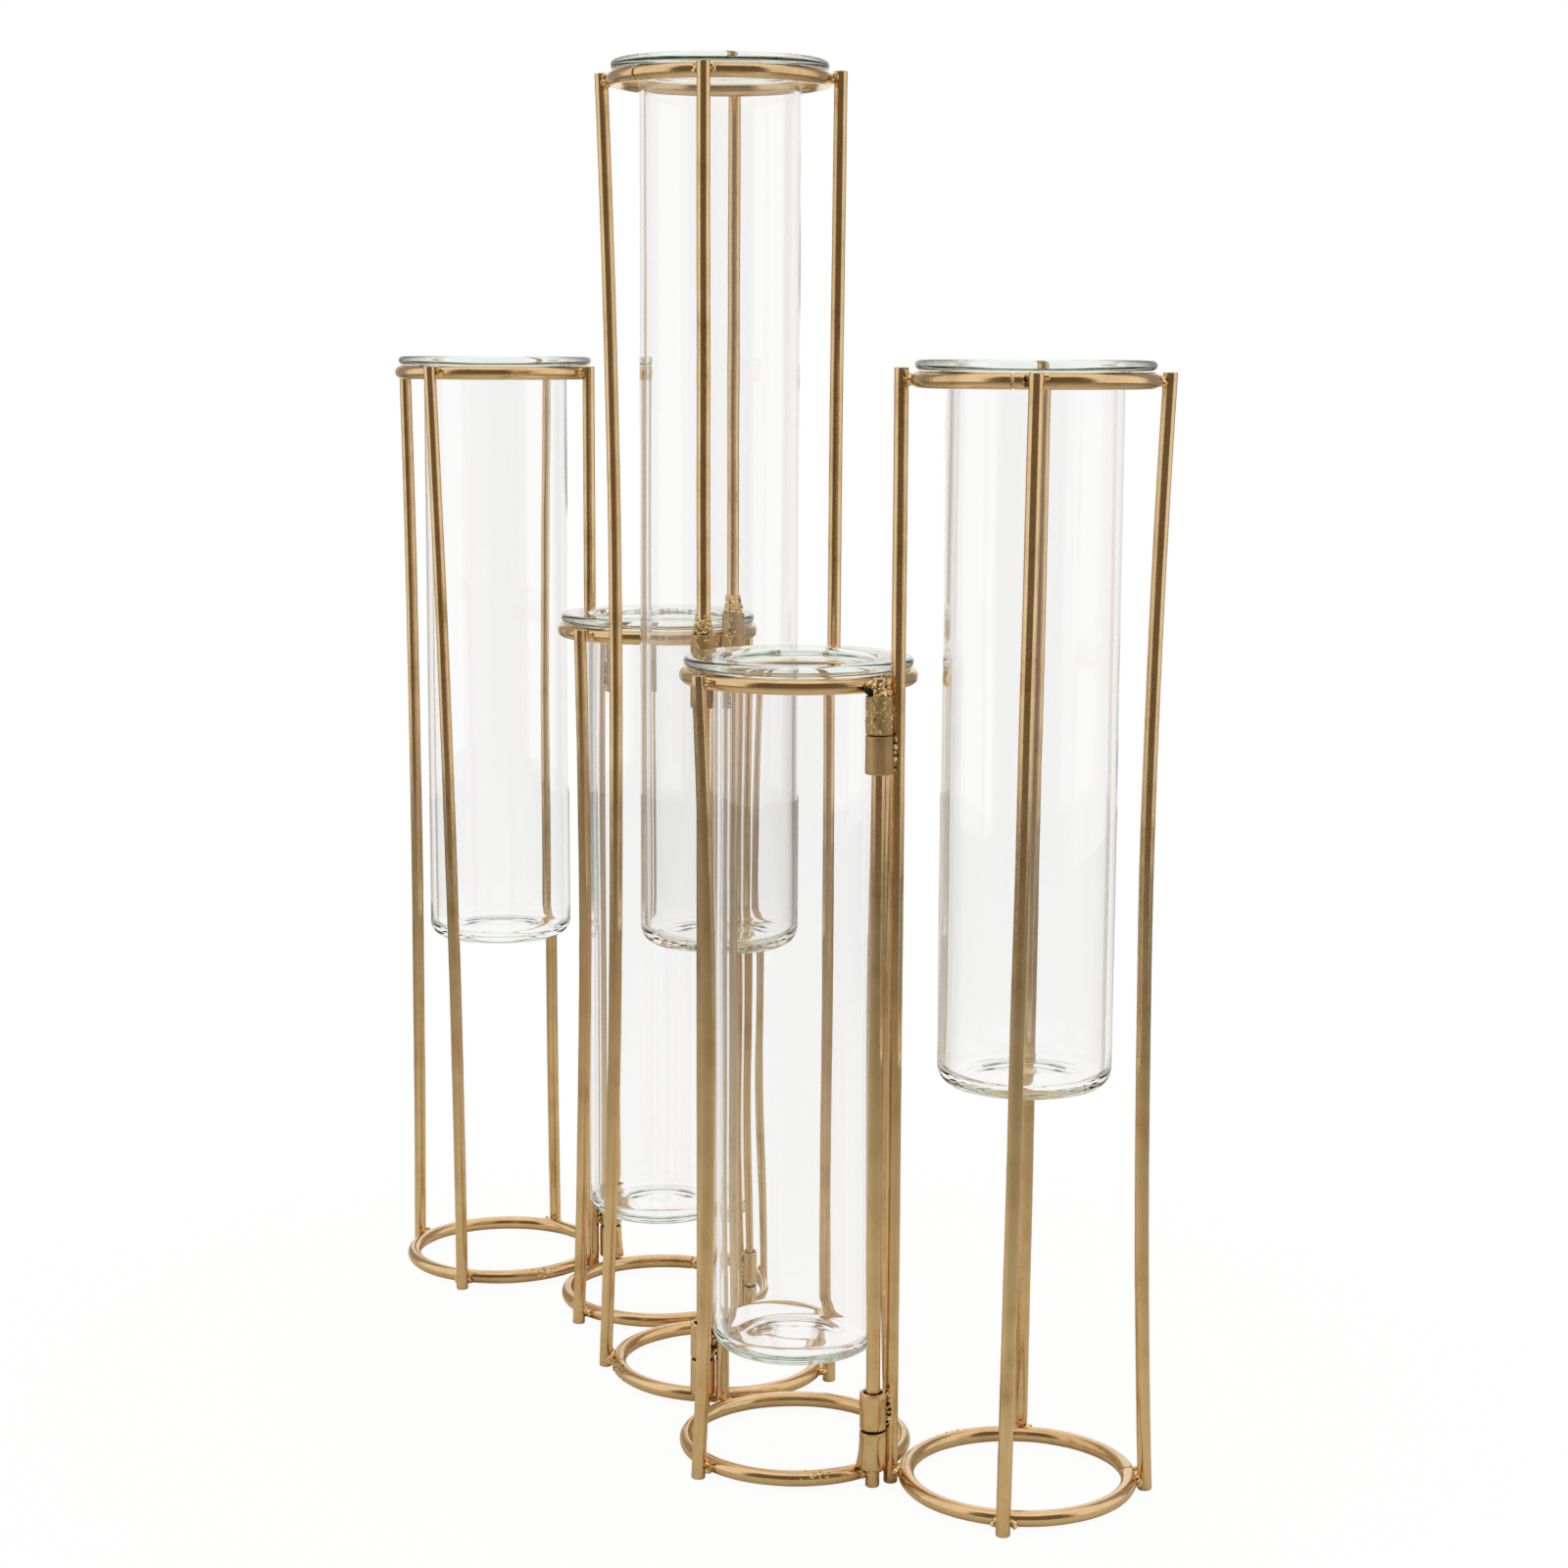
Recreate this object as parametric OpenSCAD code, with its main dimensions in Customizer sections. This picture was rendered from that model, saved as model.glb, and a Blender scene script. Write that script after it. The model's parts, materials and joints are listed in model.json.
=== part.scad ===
// Hinged row of five wire stands, each holding a flanged glass tube.
// Z is up, the row runs along X, and the origin is on the floor under the middle of the whole.

/* [Stands] */
// Height of the tall stand, floor to the top of its upper ring
tall_stand_h = 396.5; // [360:0.5:440]
// Height of the two mid stands at the ends of the row
mid_stand_h = 310.5; // [280:0.5:340]
// Height of the two short stands beside the tall one
short_stand_h = 228.5; // [215:0.5:250]
// Outside diameter of every ring
ring_od = 67; // [64:0.5:76]
// Diameter of the wire that the rings are bent from
ring_wire = 4.5; // [3.5:0.1:5]
// Gap left at the butt seam of each ring
seam_gap = 0.4; // [0.2:0.1:1]
// Diameter of the wire that the legs are cut from
leg_wire = 4; // [3:0.1:4.5]
// How far the legs reach below the base ring, as feet
foot_out = 1; // [0.5:0.1:3]
// How far the right mid stand's hinge leg stands above its upper ring
proud_top = 1; // [0:0.1:2]
// Length of the straight end of a bowed leg, from the middle of the ring that it is welded to
straight_end = 4.5; // [3:0.1:10]

/* [Welds] */
// Gap between a ring and the thickened end of a bowed leg
ring_gap = 0.1; // [0.08:0.02:0.6]
// Gap between a hinge barrel and the leg that it is welded to, and below a ring
weld_gap = 0.3; // [0.2:0.05:0.6]
// Thickness of the weld that joins a leg to a ring or to a barrel
weld_d = 3; // [2:0.1:3.4]
// Clearance left between a weld and the piece that it holds
weld_fit = 0.05; // [0.02:0.01:0.08]
// How much the weld that runs round a bowed leg's ends thickens them, on the radius
weld_swell = 0.05; // [0.02:0.01:0.07]

/* [Glass tubes] */
// Outside diameter of a glass tube
glass_od = 48; // [40:0.5:52]
// Wall of a glass tube
glass_wall = 1.8; // [1.2:0.1:2.6]
// Length of the tall stand's tube, flange included
tall_glass_l = 262.5; // [200:0.5:320]
// Length of the mid stands' tubes, flange included
mid_glass_l = 197; // [140:0.5:260]
// Length of the short stands' tubes, flange included
short_glass_l = 199.5; // [140:0.5:201]
// How far the rim of the flange stays in from the outside of the ring that it rests on
flange_inset = 1.25; // [0.5:0.05:2]
// Thickness of the flange
flange_t = 2.9; // [1.6:0.1:3.2]
// Radius of the fillet between tube and flange
flange_fillet = 2; // [1:0.1:2.4]
// Rounding of the mouth's inner edge
mouth_r = 2; // [1:0.1:2.4]
// Outside rounding of the tube's closed end
heel_r = 5; // [3:0.5:8]
// Thickness of the closed end
glass_base_t = 3.2; // [2.5:0.1:5]
// Diameter of the shallow hollow pressed into the closed end from below
dimple_d = 27; // [16:1:30]
// Depth of that hollow
dimple_t = 1.2; // [0.6:0.1:1.6]
// Clearance between the flange and the ring under it
seat_gap = 0.2; // [0.1:0.05:0.4]

/* [Hinges] */
// Outside diameter of the hinge collars and barrels
barrel_od = 7.6; // [7:0.1:8.4]
// Bore of the hinge collars and barrels, loose round the pin leg
barrel_bore = 5.6; // [5:0.1:6]
// Length of each collar and barrel
barrel_l = 10.5; // [8:0.1:14]
// Length of the weld lip that fixes a collar to its pin leg
lip_l = 1.6; // [1:0.1:3]
// Height of the weld crown on top of the tall stand's upper collars
crown_h = 4.6; // [1:0.1:7]
// Running gap between upper collar and barrel
upper_gap = 0.35; // [0.3:0.05:1]
// Open gap between lower collar and barrel
lower_gap = 0.8; // [0.4:0.1:2]
// Turn of a barrel round its leg, away from the stand's own middle line
barrel_side = 36; // [20:1:50]

/* [Arrangement] */
// Bend at the hinge between the tall and the right short stand
right_short_bend = 43.7; // [-58:0.1:49]
// Bend at the hinge between the right short and the right mid stand
right_mid_bend = 48.4; // [-58:0.1:49]
// Bend at the hinge between the tall and the left short stand
left_short_bend = 38.3; // [-58:0.1:49]
// Bend at the hinge between the left short and the left mid stand
left_mid_bend = 33.1; // [-58:0.1:49]

/* [Hidden] */
$fn = 64;
// Facets per full turn for the long, nearly straight arcs of the bowed legs
bow_fn = 1440;

ring_wire_r = ring_wire / 2;
leg_r = leg_wire / 2;
barrel_r = barrel_od / 2;
glass_r = glass_od / 2;
flange_r = ring_od / 2 - flange_inset;
// Radius of a ring's centre line, and of the circle that the leg axes stand on
ring_c_r = (ring_od - ring_wire) / 2;
leg_c_r = ring_c_r + ring_wire_r + ring_gap + weld_swell + leg_r;
// Distance between a pin leg's axis and the leg that hangs on it
hinge_link = barrel_r + weld_gap + leg_r;
base_ring_z = foot_out + ring_wire_r;
// One overrun serves every cut
cut_over = leg_wire;

// How each free leg is set. The legs are bent and placed by hand, so each is a little off its quarter mark:
// [how far off at the top ring, how far off at the base ring, how far it bows in towards the glass].
// The first two are measured round the legs' circle, anticlockwise from above.
tall_front_set = [-1.9, 0.6, 4];
tall_back_set = [-0.9, -5.6, 0.6];
right_short_front_set = [1.6, 1.6, 3.5];
right_short_back_set = [0, 0, 2.6];
right_mid_front_set = [-0.3, -4, 2.5];
right_mid_outer_set = [1.6, 0.6, 3.4];
right_mid_back_set = [-3.1, -1.2, 2.6];
left_short_front_set = [9.3, 6.8, 2.4];
left_short_back_set = [0, 0, 2.6];
left_mid_front_set = [-3.7, 4.3, 2.6];
left_mid_outer_set = [-0.3, -1.9, 1.5];
left_mid_back_set = [-2.2, -0.6, 2.6];

// The quarter marks of a stand, anticlockwise from its hinge leg
hinge_mark = 0;
left_mark = 90;
far_mark = 180;
right_mark = 270;

// Where the butt seam of each ring lies, as shares of a turn from the hinge leg: top ring, then base ring
tall_seam_shares = [0.886, 0.8];
right_short_seam_shares = [0.167, 0.246];
right_mid_seam_shares = [0.219, 0.514];
left_short_seam_shares = [0.639, 0.361];
left_mid_seam_shares = [0.625, 0.167];

// The arrangement on the floor, worked out from the tall stand with its right pin leg along X
function heading(turn) = [cos(turn), sin(turn)];
function turned(p, turn) = [p.x * cos(turn) - p.y * sin(turn), p.x * sin(turn) + p.y * cos(turn)];
function next_centre(centre, pin_turn, bend) =
    centre + leg_c_r * heading(pin_turn)
    + hinge_link * heading(pin_turn + bend + barrel_side)
    + leg_c_r * heading(pin_turn + bend);

tall_plan = [0, 0];
right_short_out = hinge_mark + right_short_bend;
right_short_plan = next_centre(tall_plan, hinge_mark, right_short_bend);
right_mid_out = right_short_out + right_mid_bend;
right_mid_plan = next_centre(right_short_plan, right_short_out, right_mid_bend);
left_short_out = far_mark + left_short_bend;
left_short_plan = next_centre(tall_plan, far_mark, left_short_bend);
left_mid_out = left_short_out + left_mid_bend;
left_mid_plan = next_centre(left_short_plan, left_short_out, left_mid_bend);
row_span = right_mid_plan - left_mid_plan;
row_turn = -atan2(row_span.y, row_span.x);

// Direction of a free leg's ends, at the top ring and at the base ring
function leg_turns(mark, set) = [for (off = [set[0], set[1]]) mark + off / (PI * leg_c_r) * 180];

// Everything that can reach furthest out once the row lies along X: [centre, radius] of rings and leg ends.
// A stand that hangs on a pin has its hinge leg on the side of that pin.
function leg_ends(plan, turn, turns) =
    [for (a = turns) [turned(plan, row_turn) + leg_c_r * heading(row_turn + turn + a), leg_r + weld_swell]];
outermost = concat(
    [for (plan = [tall_plan, right_short_plan, right_mid_plan, left_short_plan, left_mid_plan])
        [turned(plan, row_turn), ring_od / 2]],
    leg_ends(tall_plan, hinge_mark,
        concat(leg_turns(right_mark, tall_front_set), leg_turns(left_mark, tall_back_set))),
    leg_ends(right_short_plan, right_short_out + far_mark,
        concat(leg_turns(left_mark, right_short_front_set), leg_turns(right_mark, right_short_back_set))),
    leg_ends(right_mid_plan, right_mid_out + far_mark,
        concat(leg_turns(left_mark, right_mid_front_set), leg_turns(right_mark, right_mid_back_set))),
    leg_ends(right_mid_plan, right_mid_out + far_mark, leg_turns(far_mark, right_mid_outer_set)),
    leg_ends(left_short_plan, left_short_out + far_mark,
        concat(leg_turns(right_mark, left_short_front_set), leg_turns(left_mark, left_short_back_set))),
    leg_ends(left_mid_plan, left_mid_out + far_mark,
        concat(leg_turns(right_mark, left_mid_front_set), leg_turns(left_mark, left_mid_back_set))),
    leg_ends(left_mid_plan, left_mid_out + far_mark, leg_turns(far_mark, left_mid_outer_set)));
row_middle = [
    (max([for (o = outermost) o[0].x + o[1]]) + min([for (o = outermost) o[0].x - o[1]])) / 2,
    (max([for (o = outermost) o[0].y + o[1]]) + min([for (o = outermost) o[0].y - o[1]])) / 2];

// Heights of the hinge tubes. The lower collar stands on the base ring, and the barrel above it.
lower_collar_z = base_ring_z + ring_wire_r + weld_gap;
lower_barrel_z = lower_collar_z + barrel_l + lower_gap;
// Just under the short stand's upper ring hangs its own barrel, or its own collar with a barrel below
under_ring_z = short_stand_h - ring_wire - weld_gap - barrel_l;
// The tall stand's upper collars stand above that barrel
above_barrel_z = under_ring_z + barrel_l + upper_gap;

metal = "#C39A4F";
clear_glass = "#DDEAE4";

// Each stand's own frame has its origin at the stand's foot and its hinge leg towards X
module at_tall() {
    translate([-row_middle.x, -row_middle.y, 0])
        rotate([0, 0, row_turn])
            children();
}

// Puts its children into the frame of the stand that swings on the pin leg at this mark
module hung_at(pin_mark, bend) {
    rotate([0, 0, pin_mark])
        translate([leg_c_r, 0, 0])
            rotate([0, 0, bend])
                rotate([0, 0, barrel_side])
                    translate([hinge_link, 0, 0])
                        rotate([0, 0, -barrel_side])
                            translate([leg_c_r, 0, 0])
                                rotate([0, 0, far_mark])
                                    children();
}

module at_right_short() at_tall() hung_at(hinge_mark, right_short_bend) children();
module at_right_mid() at_right_short() hung_at(far_mark, right_mid_bend) children();
module at_left_short() at_tall() hung_at(far_mark, left_short_bend) children();
module at_left_mid() at_left_short() hung_at(far_mark, left_mid_bend) children();

// A ring bent from one wire, closed at a butt seam
module wire_ring(z, seam_share) {
    seam_angle = seam_gap / (PI * ring_c_r) * 180;
    color(metal)
        translate([0, 0, z])
            rotate([0, 0, seam_share * 360 + seam_angle / 2])
                rotate_extrude(angle = 360 - seam_angle)
                    translate([ring_c_r, 0])
                        circle(r = ring_wire_r);
}

module top_ring(stand_h, seam_shares) wire_ring(stand_h - ring_wire_r, seam_shares[0]);
module base_ring(seam_shares) wire_ring(base_ring_z, seam_shares[1]);

// The stretch of ring that the weld at this turn meets, as straight wire, with the weld clearance round it
module ring_space(z, turn) {
    rotate([0, 0, turn])
        translate([ring_c_r, 0, z])
            rotate([90, 0, 0])
                cylinder(r = ring_wire_r + weld_fit, h = 2 * weld_d, center = true);
}

// A weld that runs from a leg's axis to the ring inside it
module ring_weld(z, turn) {
    rotate([0, 0, turn])
        translate([ring_c_r, 0, z])
            rotate([0, 90, 0])
                cylinder(d = weld_d, h = leg_c_r - ring_c_r);
}

// Adds the welds that hold a leg at its two rings, where it stands at turns[0] and turns[1]
module welded(stand_h, turns) {
    top_ring_z = stand_h - ring_wire_r;
    color(metal)
        difference() {
            union() {
                children();
                ring_weld(top_ring_z, turns[0]);
                ring_weld(base_ring_z, turns[1]);
            }
            ring_space(top_ring_z, turns[0]);
            ring_space(base_ring_z, turns[1]);
        }
}

// An upright wire from the floor past both rings
module straight_leg(stand_h, mark, proud = 0) {
    welded(stand_h, [mark, mark])
        rotate([0, 0, mark])
            translate([leg_c_r, 0, 0])
                cylinder(d = leg_wire, h = stand_h + proud);
}

// A slack arc that sags by bow over the given half span, with straight ends that carry on past it.
// It stands along Z through its own middle and sags away from +X.
module bowed_wire(half_span, bow) {
    half_arc = 2 * atan(bow / (half_span + straight_end));
    arc_r = (half_span - straight_end * cos(half_arc)) / sin(half_arc);
    // The arc runs half way into its straight ends, which the welds have thickened
    half_sweep = half_arc + straight_end / 2 / (PI * arc_r) * 180;
    translate([arc_r - bow, 0, 0])
        rotate([90, 0, 0])
            rotate([0, 0, 180 - half_sweep])
                rotate_extrude(angle = 2 * half_sweep, $fn = bow_fn)
                    translate([arc_r, 0])
                        rotate([0, 0, 180])
                            circle(r = leg_r);
    for (end = [0, 1])
        mirror([0, 0, end])
            translate([0, 0, half_span])
                rotate([0, half_arc, 0])
                    translate([0, 0, -straight_end])
                        cylinder(r = leg_r + weld_swell, h = straight_end + base_ring_z + cut_over);
}

// A free leg: a bowed wire between its places on the two rings, cut level at both ends
module bowed_leg(stand_h, mark, set) {
    turns = leg_turns(mark, set);
    half_slant = (turns[0] - turns[1]) / 2;
    rise = stand_h - ring_wire_r - base_ring_z;
    run = 2 * leg_c_r * sin(half_slant);
    welded(stand_h, turns)
        intersection() {
            rotate([0, 0, turns[1] + half_slant])
                translate([leg_c_r * cos(half_slant), 0, base_ring_z + rise / 2])
                    rotate([-atan2(run, rise), 0, 0])
                        bowed_wire(norm([rise, run]) / 2, set[2]);
            translate([-ring_od, -ring_od, 0])
                cube([2 * ring_od, 2 * ring_od, stand_h]);
        }
}

// A loose tube round the pin leg, joined by a weld to the leg of the stand that swings on it
module barrel(z) {
    color(metal)
        difference() {
            translate([leg_c_r, 0, z])
                rotate([0, 0, barrel_side])
                    difference() {
                        union() {
                            translate([hinge_link, 0, 0])
                                cylinder(d = barrel_od, h = barrel_l);
                            translate([0, -weld_d / 2, lip_l / 2])
                                cube([hinge_link, weld_d, barrel_l - lip_l]);
                        }
                        translate([hinge_link, 0, -cut_over])
                            cylinder(d = barrel_bore, h = barrel_l + 2 * cut_over);
                    }
            translate([leg_c_r, 0, z - cut_over])
                cylinder(r = leg_r + weld_fit, h = barrel_l + 2 * cut_over);
        }
}

// The weld piled up round the pin on top of a collar
module crown_cone() cylinder(d1 = barrel_bore + leg_wire / 4, d2 = leg_wire + weld_gap, h = crown_h);

// A tube fixed on the pin leg by a weld lip at one of its ends
module collar(z, mark, lip_at_top, crown) {
    color(metal)
        rotate([0, 0, mark])
            translate([leg_c_r, 0, z])
                difference() {
                    union() {
                        cylinder(d = barrel_od, h = barrel_l);
                        if (crown)
                            translate([0, 0, barrel_l])
                                crown_cone();
                    }
                    translate([0, 0, lip_at_top ? -cut_over : lip_l])
                        cylinder(d = barrel_bore, h = barrel_l - lip_l + cut_over);
                    translate([0, 0, -cut_over])
                        cylinder(r = leg_r + weld_fit, h = barrel_l + crown_h + 2 * cut_over);
                }
}

// Half section of a glass tube, standing on its closed end
module glass_section(l) {
    bore_r = glass_r - glass_wall;
    heel_in_r = heel_r - glass_wall;
    dimple_r = (dimple_d * dimple_d / 4 + dimple_t * dimple_t) / (2 * dimple_t);
    difference() {
        union() {
            square([glass_r, l]);
            translate([0, l - flange_t])
                square([flange_r - flange_t / 2, flange_t]);
            translate([flange_r - flange_t / 2, l - flange_t / 2])
                circle(d = flange_t);
            difference() {
                translate([0, l - flange_t - flange_fillet])
                    square([glass_r + flange_fillet, flange_fillet + flange_t / 2]);
                translate([glass_r + flange_fillet, l - flange_t - flange_fillet])
                    circle(r = flange_fillet);
            }
        }
        // The bore, round at its foot
        difference() {
            translate([-cut_over, glass_base_t])
                square([cut_over + bore_r, l]);
            translate([bore_r - heel_in_r, glass_base_t])
                difference() {
                    square([heel_in_r + cut_over, heel_in_r]);
                    translate([0, heel_in_r])
                        circle(r = heel_in_r);
                }
        }
        // The mouth's rounding
        difference() {
            translate([bore_r - cut_over, l - mouth_r])
                square([cut_over + mouth_r, mouth_r + cut_over]);
            translate([bore_r + mouth_r, l - mouth_r])
                circle(r = mouth_r);
        }
        // The heel's rounding
        translate([glass_r - heel_r, -cut_over])
            difference() {
                square([heel_r + cut_over, heel_r + cut_over]);
                translate([0, heel_r + cut_over])
                    circle(r = heel_r);
            }
        // The shallow hollow under the closed end
        translate([0, dimple_t - dimple_r])
            circle(r = dimple_r, $fn = 360);
    }
}

module glass_tube(stand_h, l) {
    color(clear_glass, 0.35)
        translate([0, 0, stand_h + seat_gap + flange_t - l])
            rotate_extrude()
                intersection() {
                    glass_section(l);
                    square([ring_od, l]);
                }
}

module tall_top_ring() at_tall() top_ring(tall_stand_h, tall_seam_shares);
module tall_base_ring() at_tall() base_ring(tall_seam_shares);
module tall_front_leg() at_tall() bowed_leg(tall_stand_h, right_mark, tall_front_set);
module tall_back_leg() at_tall() bowed_leg(tall_stand_h, left_mark, tall_back_set);
module tall_right_pin_leg() at_tall() straight_leg(tall_stand_h, hinge_mark);
module tall_left_pin_leg() at_tall() straight_leg(tall_stand_h, far_mark);
module tall_right_upper_collar() at_tall() collar(above_barrel_z, hinge_mark, true, true);
module tall_right_lower_collar() at_tall() collar(lower_collar_z, hinge_mark, false, false);
module tall_left_upper_collar() at_tall() collar(above_barrel_z, far_mark, true, true);
module tall_left_lower_collar() at_tall() collar(lower_collar_z, far_mark, false, false);
module tall_glass_tube() at_tall() glass_tube(tall_stand_h, tall_glass_l);

module right_short_top_ring() at_right_short() top_ring(short_stand_h, right_short_seam_shares);
module right_short_base_ring() at_right_short() base_ring(right_short_seam_shares);
module right_short_front_leg() at_right_short() bowed_leg(short_stand_h, left_mark, right_short_front_set);
module right_short_back_leg() at_right_short() bowed_leg(short_stand_h, right_mark, right_short_back_set);
module right_short_hinge_leg() at_right_short() straight_leg(short_stand_h, hinge_mark);
module right_short_pin_leg() at_right_short() straight_leg(short_stand_h, far_mark);
module right_short_upper_barrel() at_right_short() barrel(under_ring_z);
module right_short_lower_barrel() at_right_short() barrel(lower_barrel_z);
module right_short_upper_collar() at_right_short() collar(under_ring_z, far_mark, true, false);
module right_short_lower_collar() at_right_short() collar(lower_collar_z, far_mark, false, false);
module right_short_glass_tube() at_right_short() glass_tube(short_stand_h, short_glass_l);

module right_mid_top_ring() at_right_mid() top_ring(mid_stand_h, right_mid_seam_shares);
module right_mid_base_ring() at_right_mid() base_ring(right_mid_seam_shares);
module right_mid_front_leg() at_right_mid() bowed_leg(mid_stand_h, left_mark, right_mid_front_set);
module right_mid_back_leg() at_right_mid() bowed_leg(mid_stand_h, right_mark, right_mid_back_set);
module right_mid_hinge_leg() at_right_mid() straight_leg(mid_stand_h, hinge_mark, proud_top);
module right_mid_outer_leg() at_right_mid() bowed_leg(mid_stand_h, far_mark, right_mid_outer_set);
module right_mid_upper_barrel() at_right_mid() barrel(under_ring_z - upper_gap - barrel_l);
module right_mid_lower_barrel() at_right_mid() barrel(lower_barrel_z);
module right_mid_glass_tube() at_right_mid() glass_tube(mid_stand_h, mid_glass_l);

module left_short_top_ring() at_left_short() top_ring(short_stand_h, left_short_seam_shares);
module left_short_base_ring() at_left_short() base_ring(left_short_seam_shares);
module left_short_front_leg() at_left_short() bowed_leg(short_stand_h, right_mark, left_short_front_set);
module left_short_back_leg() at_left_short() bowed_leg(short_stand_h, left_mark, left_short_back_set);
module left_short_hinge_leg() at_left_short() straight_leg(short_stand_h, hinge_mark);
module left_short_pin_leg() at_left_short() straight_leg(short_stand_h, far_mark);
module left_short_upper_barrel() at_left_short() barrel(under_ring_z);
module left_short_lower_barrel() at_left_short() barrel(lower_barrel_z);
module left_short_upper_collar() at_left_short() collar(under_ring_z, far_mark, true, false);
module left_short_lower_collar() at_left_short() collar(lower_collar_z, far_mark, false, false);
module left_short_glass_tube() at_left_short() glass_tube(short_stand_h, short_glass_l);

module left_mid_top_ring() at_left_mid() top_ring(mid_stand_h, left_mid_seam_shares);
module left_mid_base_ring() at_left_mid() base_ring(left_mid_seam_shares);
module left_mid_front_leg() at_left_mid() bowed_leg(mid_stand_h, right_mark, left_mid_front_set);
module left_mid_back_leg() at_left_mid() bowed_leg(mid_stand_h, left_mark, left_mid_back_set);
module left_mid_hinge_leg() at_left_mid() straight_leg(mid_stand_h, hinge_mark);
module left_mid_outer_leg() at_left_mid() bowed_leg(mid_stand_h, far_mark, left_mid_outer_set);
module left_mid_upper_barrel() at_left_mid() barrel(under_ring_z - upper_gap - barrel_l);
module left_mid_lower_barrel() at_left_mid() barrel(lower_barrel_z);
module left_mid_glass_tube() at_left_mid() glass_tube(mid_stand_h, mid_glass_l);

tall_top_ring();
tall_base_ring();
tall_front_leg();
tall_back_leg();
tall_right_pin_leg();
tall_left_pin_leg();
tall_right_upper_collar();
tall_right_lower_collar();
tall_left_upper_collar();
tall_left_lower_collar();
tall_glass_tube();
right_short_top_ring();
right_short_base_ring();
right_short_front_leg();
right_short_back_leg();
right_short_hinge_leg();
right_short_pin_leg();
right_short_upper_barrel();
right_short_lower_barrel();
right_short_upper_collar();
right_short_lower_collar();
right_short_glass_tube();
right_mid_top_ring();
right_mid_base_ring();
right_mid_front_leg();
right_mid_back_leg();
right_mid_hinge_leg();
right_mid_outer_leg();
right_mid_upper_barrel();
right_mid_lower_barrel();
right_mid_glass_tube();
left_short_top_ring();
left_short_base_ring();
left_short_front_leg();
left_short_back_leg();
left_short_hinge_leg();
left_short_pin_leg();
left_short_upper_barrel();
left_short_lower_barrel();
left_short_upper_collar();
left_short_lower_collar();
left_short_glass_tube();
left_mid_top_ring();
left_mid_base_ring();
left_mid_front_leg();
left_mid_back_leg();
left_mid_hinge_leg();
left_mid_outer_leg();
left_mid_upper_barrel();
left_mid_lower_barrel();
left_mid_glass_tube();
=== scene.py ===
"""Looks of a hinged row of five gold wire stands that each hold a clear flanged glass tube.

Lengths are in millimetres until a mesh is made, and the row stands in the frame of its CAD model.
"""

import json
import logging
import math
from dataclasses import dataclass, field
from enum import Enum

import bpy
import numpy as np
from mathutils import Matrix, Vector


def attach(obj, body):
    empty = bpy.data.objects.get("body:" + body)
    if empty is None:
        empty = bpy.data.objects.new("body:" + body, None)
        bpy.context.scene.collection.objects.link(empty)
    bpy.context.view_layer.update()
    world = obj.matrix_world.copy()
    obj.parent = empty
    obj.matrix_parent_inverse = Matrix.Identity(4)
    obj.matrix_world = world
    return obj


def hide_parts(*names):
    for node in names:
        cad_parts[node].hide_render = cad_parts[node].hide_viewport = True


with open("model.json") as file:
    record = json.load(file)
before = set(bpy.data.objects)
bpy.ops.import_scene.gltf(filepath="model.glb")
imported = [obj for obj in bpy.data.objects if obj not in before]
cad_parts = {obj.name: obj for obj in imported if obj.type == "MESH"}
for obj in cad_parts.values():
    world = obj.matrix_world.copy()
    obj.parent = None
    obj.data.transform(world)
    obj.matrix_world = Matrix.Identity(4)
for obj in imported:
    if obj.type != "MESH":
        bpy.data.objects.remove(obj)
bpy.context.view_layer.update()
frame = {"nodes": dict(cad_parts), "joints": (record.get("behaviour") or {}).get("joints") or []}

logging.basicConfig(level=logging.INFO, format="%(message)s")
LOG = logging.getLogger("tube_vase_row")

Material = bpy.types.Material
Socket = bpy.types.NodeSocket
Pair = tuple[float, float]
Pile = tuple[float, float, int]  # height, radius and number of lumps

MM = 0.001
UP = np.array([0.0, 0.0, 1.0])
LEVEL_CUT = 0.02  # points this near to a leg's end, in mm, lie on its cut
POLE_GAP = 0.12  # angle in radians that a blob leaves open round each pole, for its cap
GOLDEN_TURN = 137.5  # degrees between lumps that never line up


class Joining(Enum):
    """How the rows of a surface close."""

    OPEN_ENDS = "the first and the last row each get a flat cap"
    LOOPED = "the last row joins the first"


@dataclass
class Shell:
    """A surface as plain arrays: its points, and its faces as lists of point numbers."""

    points: np.ndarray
    faces: list[list[int]]

    @staticmethod
    def joined(shells: list["Shell"]) -> "Shell":
        """Put several shells into one, each with its own points.

        Args:
            shells: The shells to put together.

        Returns:
            One shell that holds them all.
        """
        offsets = np.cumsum([0] + [len(s.points) for s in shells[:-1]])
        faces = [[i + int(o) for i in f] for s, o in zip(shells, offsets) for f in s.faces]
        return Shell(np.vstack([s.points for s in shells]), faces)


def grid_faces(rows: int, columns: int, joining: Joining) -> list[list[int]]:
    """Quads of a grid whose columns close round.

    The quad at (i, j) takes the points (i, j), (i, j + 1), (i + 1, j + 1) and (i + 1, j).

    Args:
        rows: Number of rings along the surface.
        columns: Number of points round each ring.
        joining: How the rows close.

    Returns:
        The quads, and the two caps where the ends are open.
    """
    looped = joining is Joining.LOOPED
    i, j = np.meshgrid(np.arange(rows if looped else rows - 1), np.arange(columns), indexing="ij")
    a = i * columns + j
    b = i * columns + (j + 1) % columns
    c = ((i + 1) % rows) * columns + (j + 1) % columns
    d = ((i + 1) % rows) * columns + j
    faces = np.stack([a, b, c, d], -1).reshape(-1, 4).tolist()
    if not looped:
        faces.append(list(range(columns))[::-1])
        faces.append(list(range((rows - 1) * columns, rows * columns)))
    return faces


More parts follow.
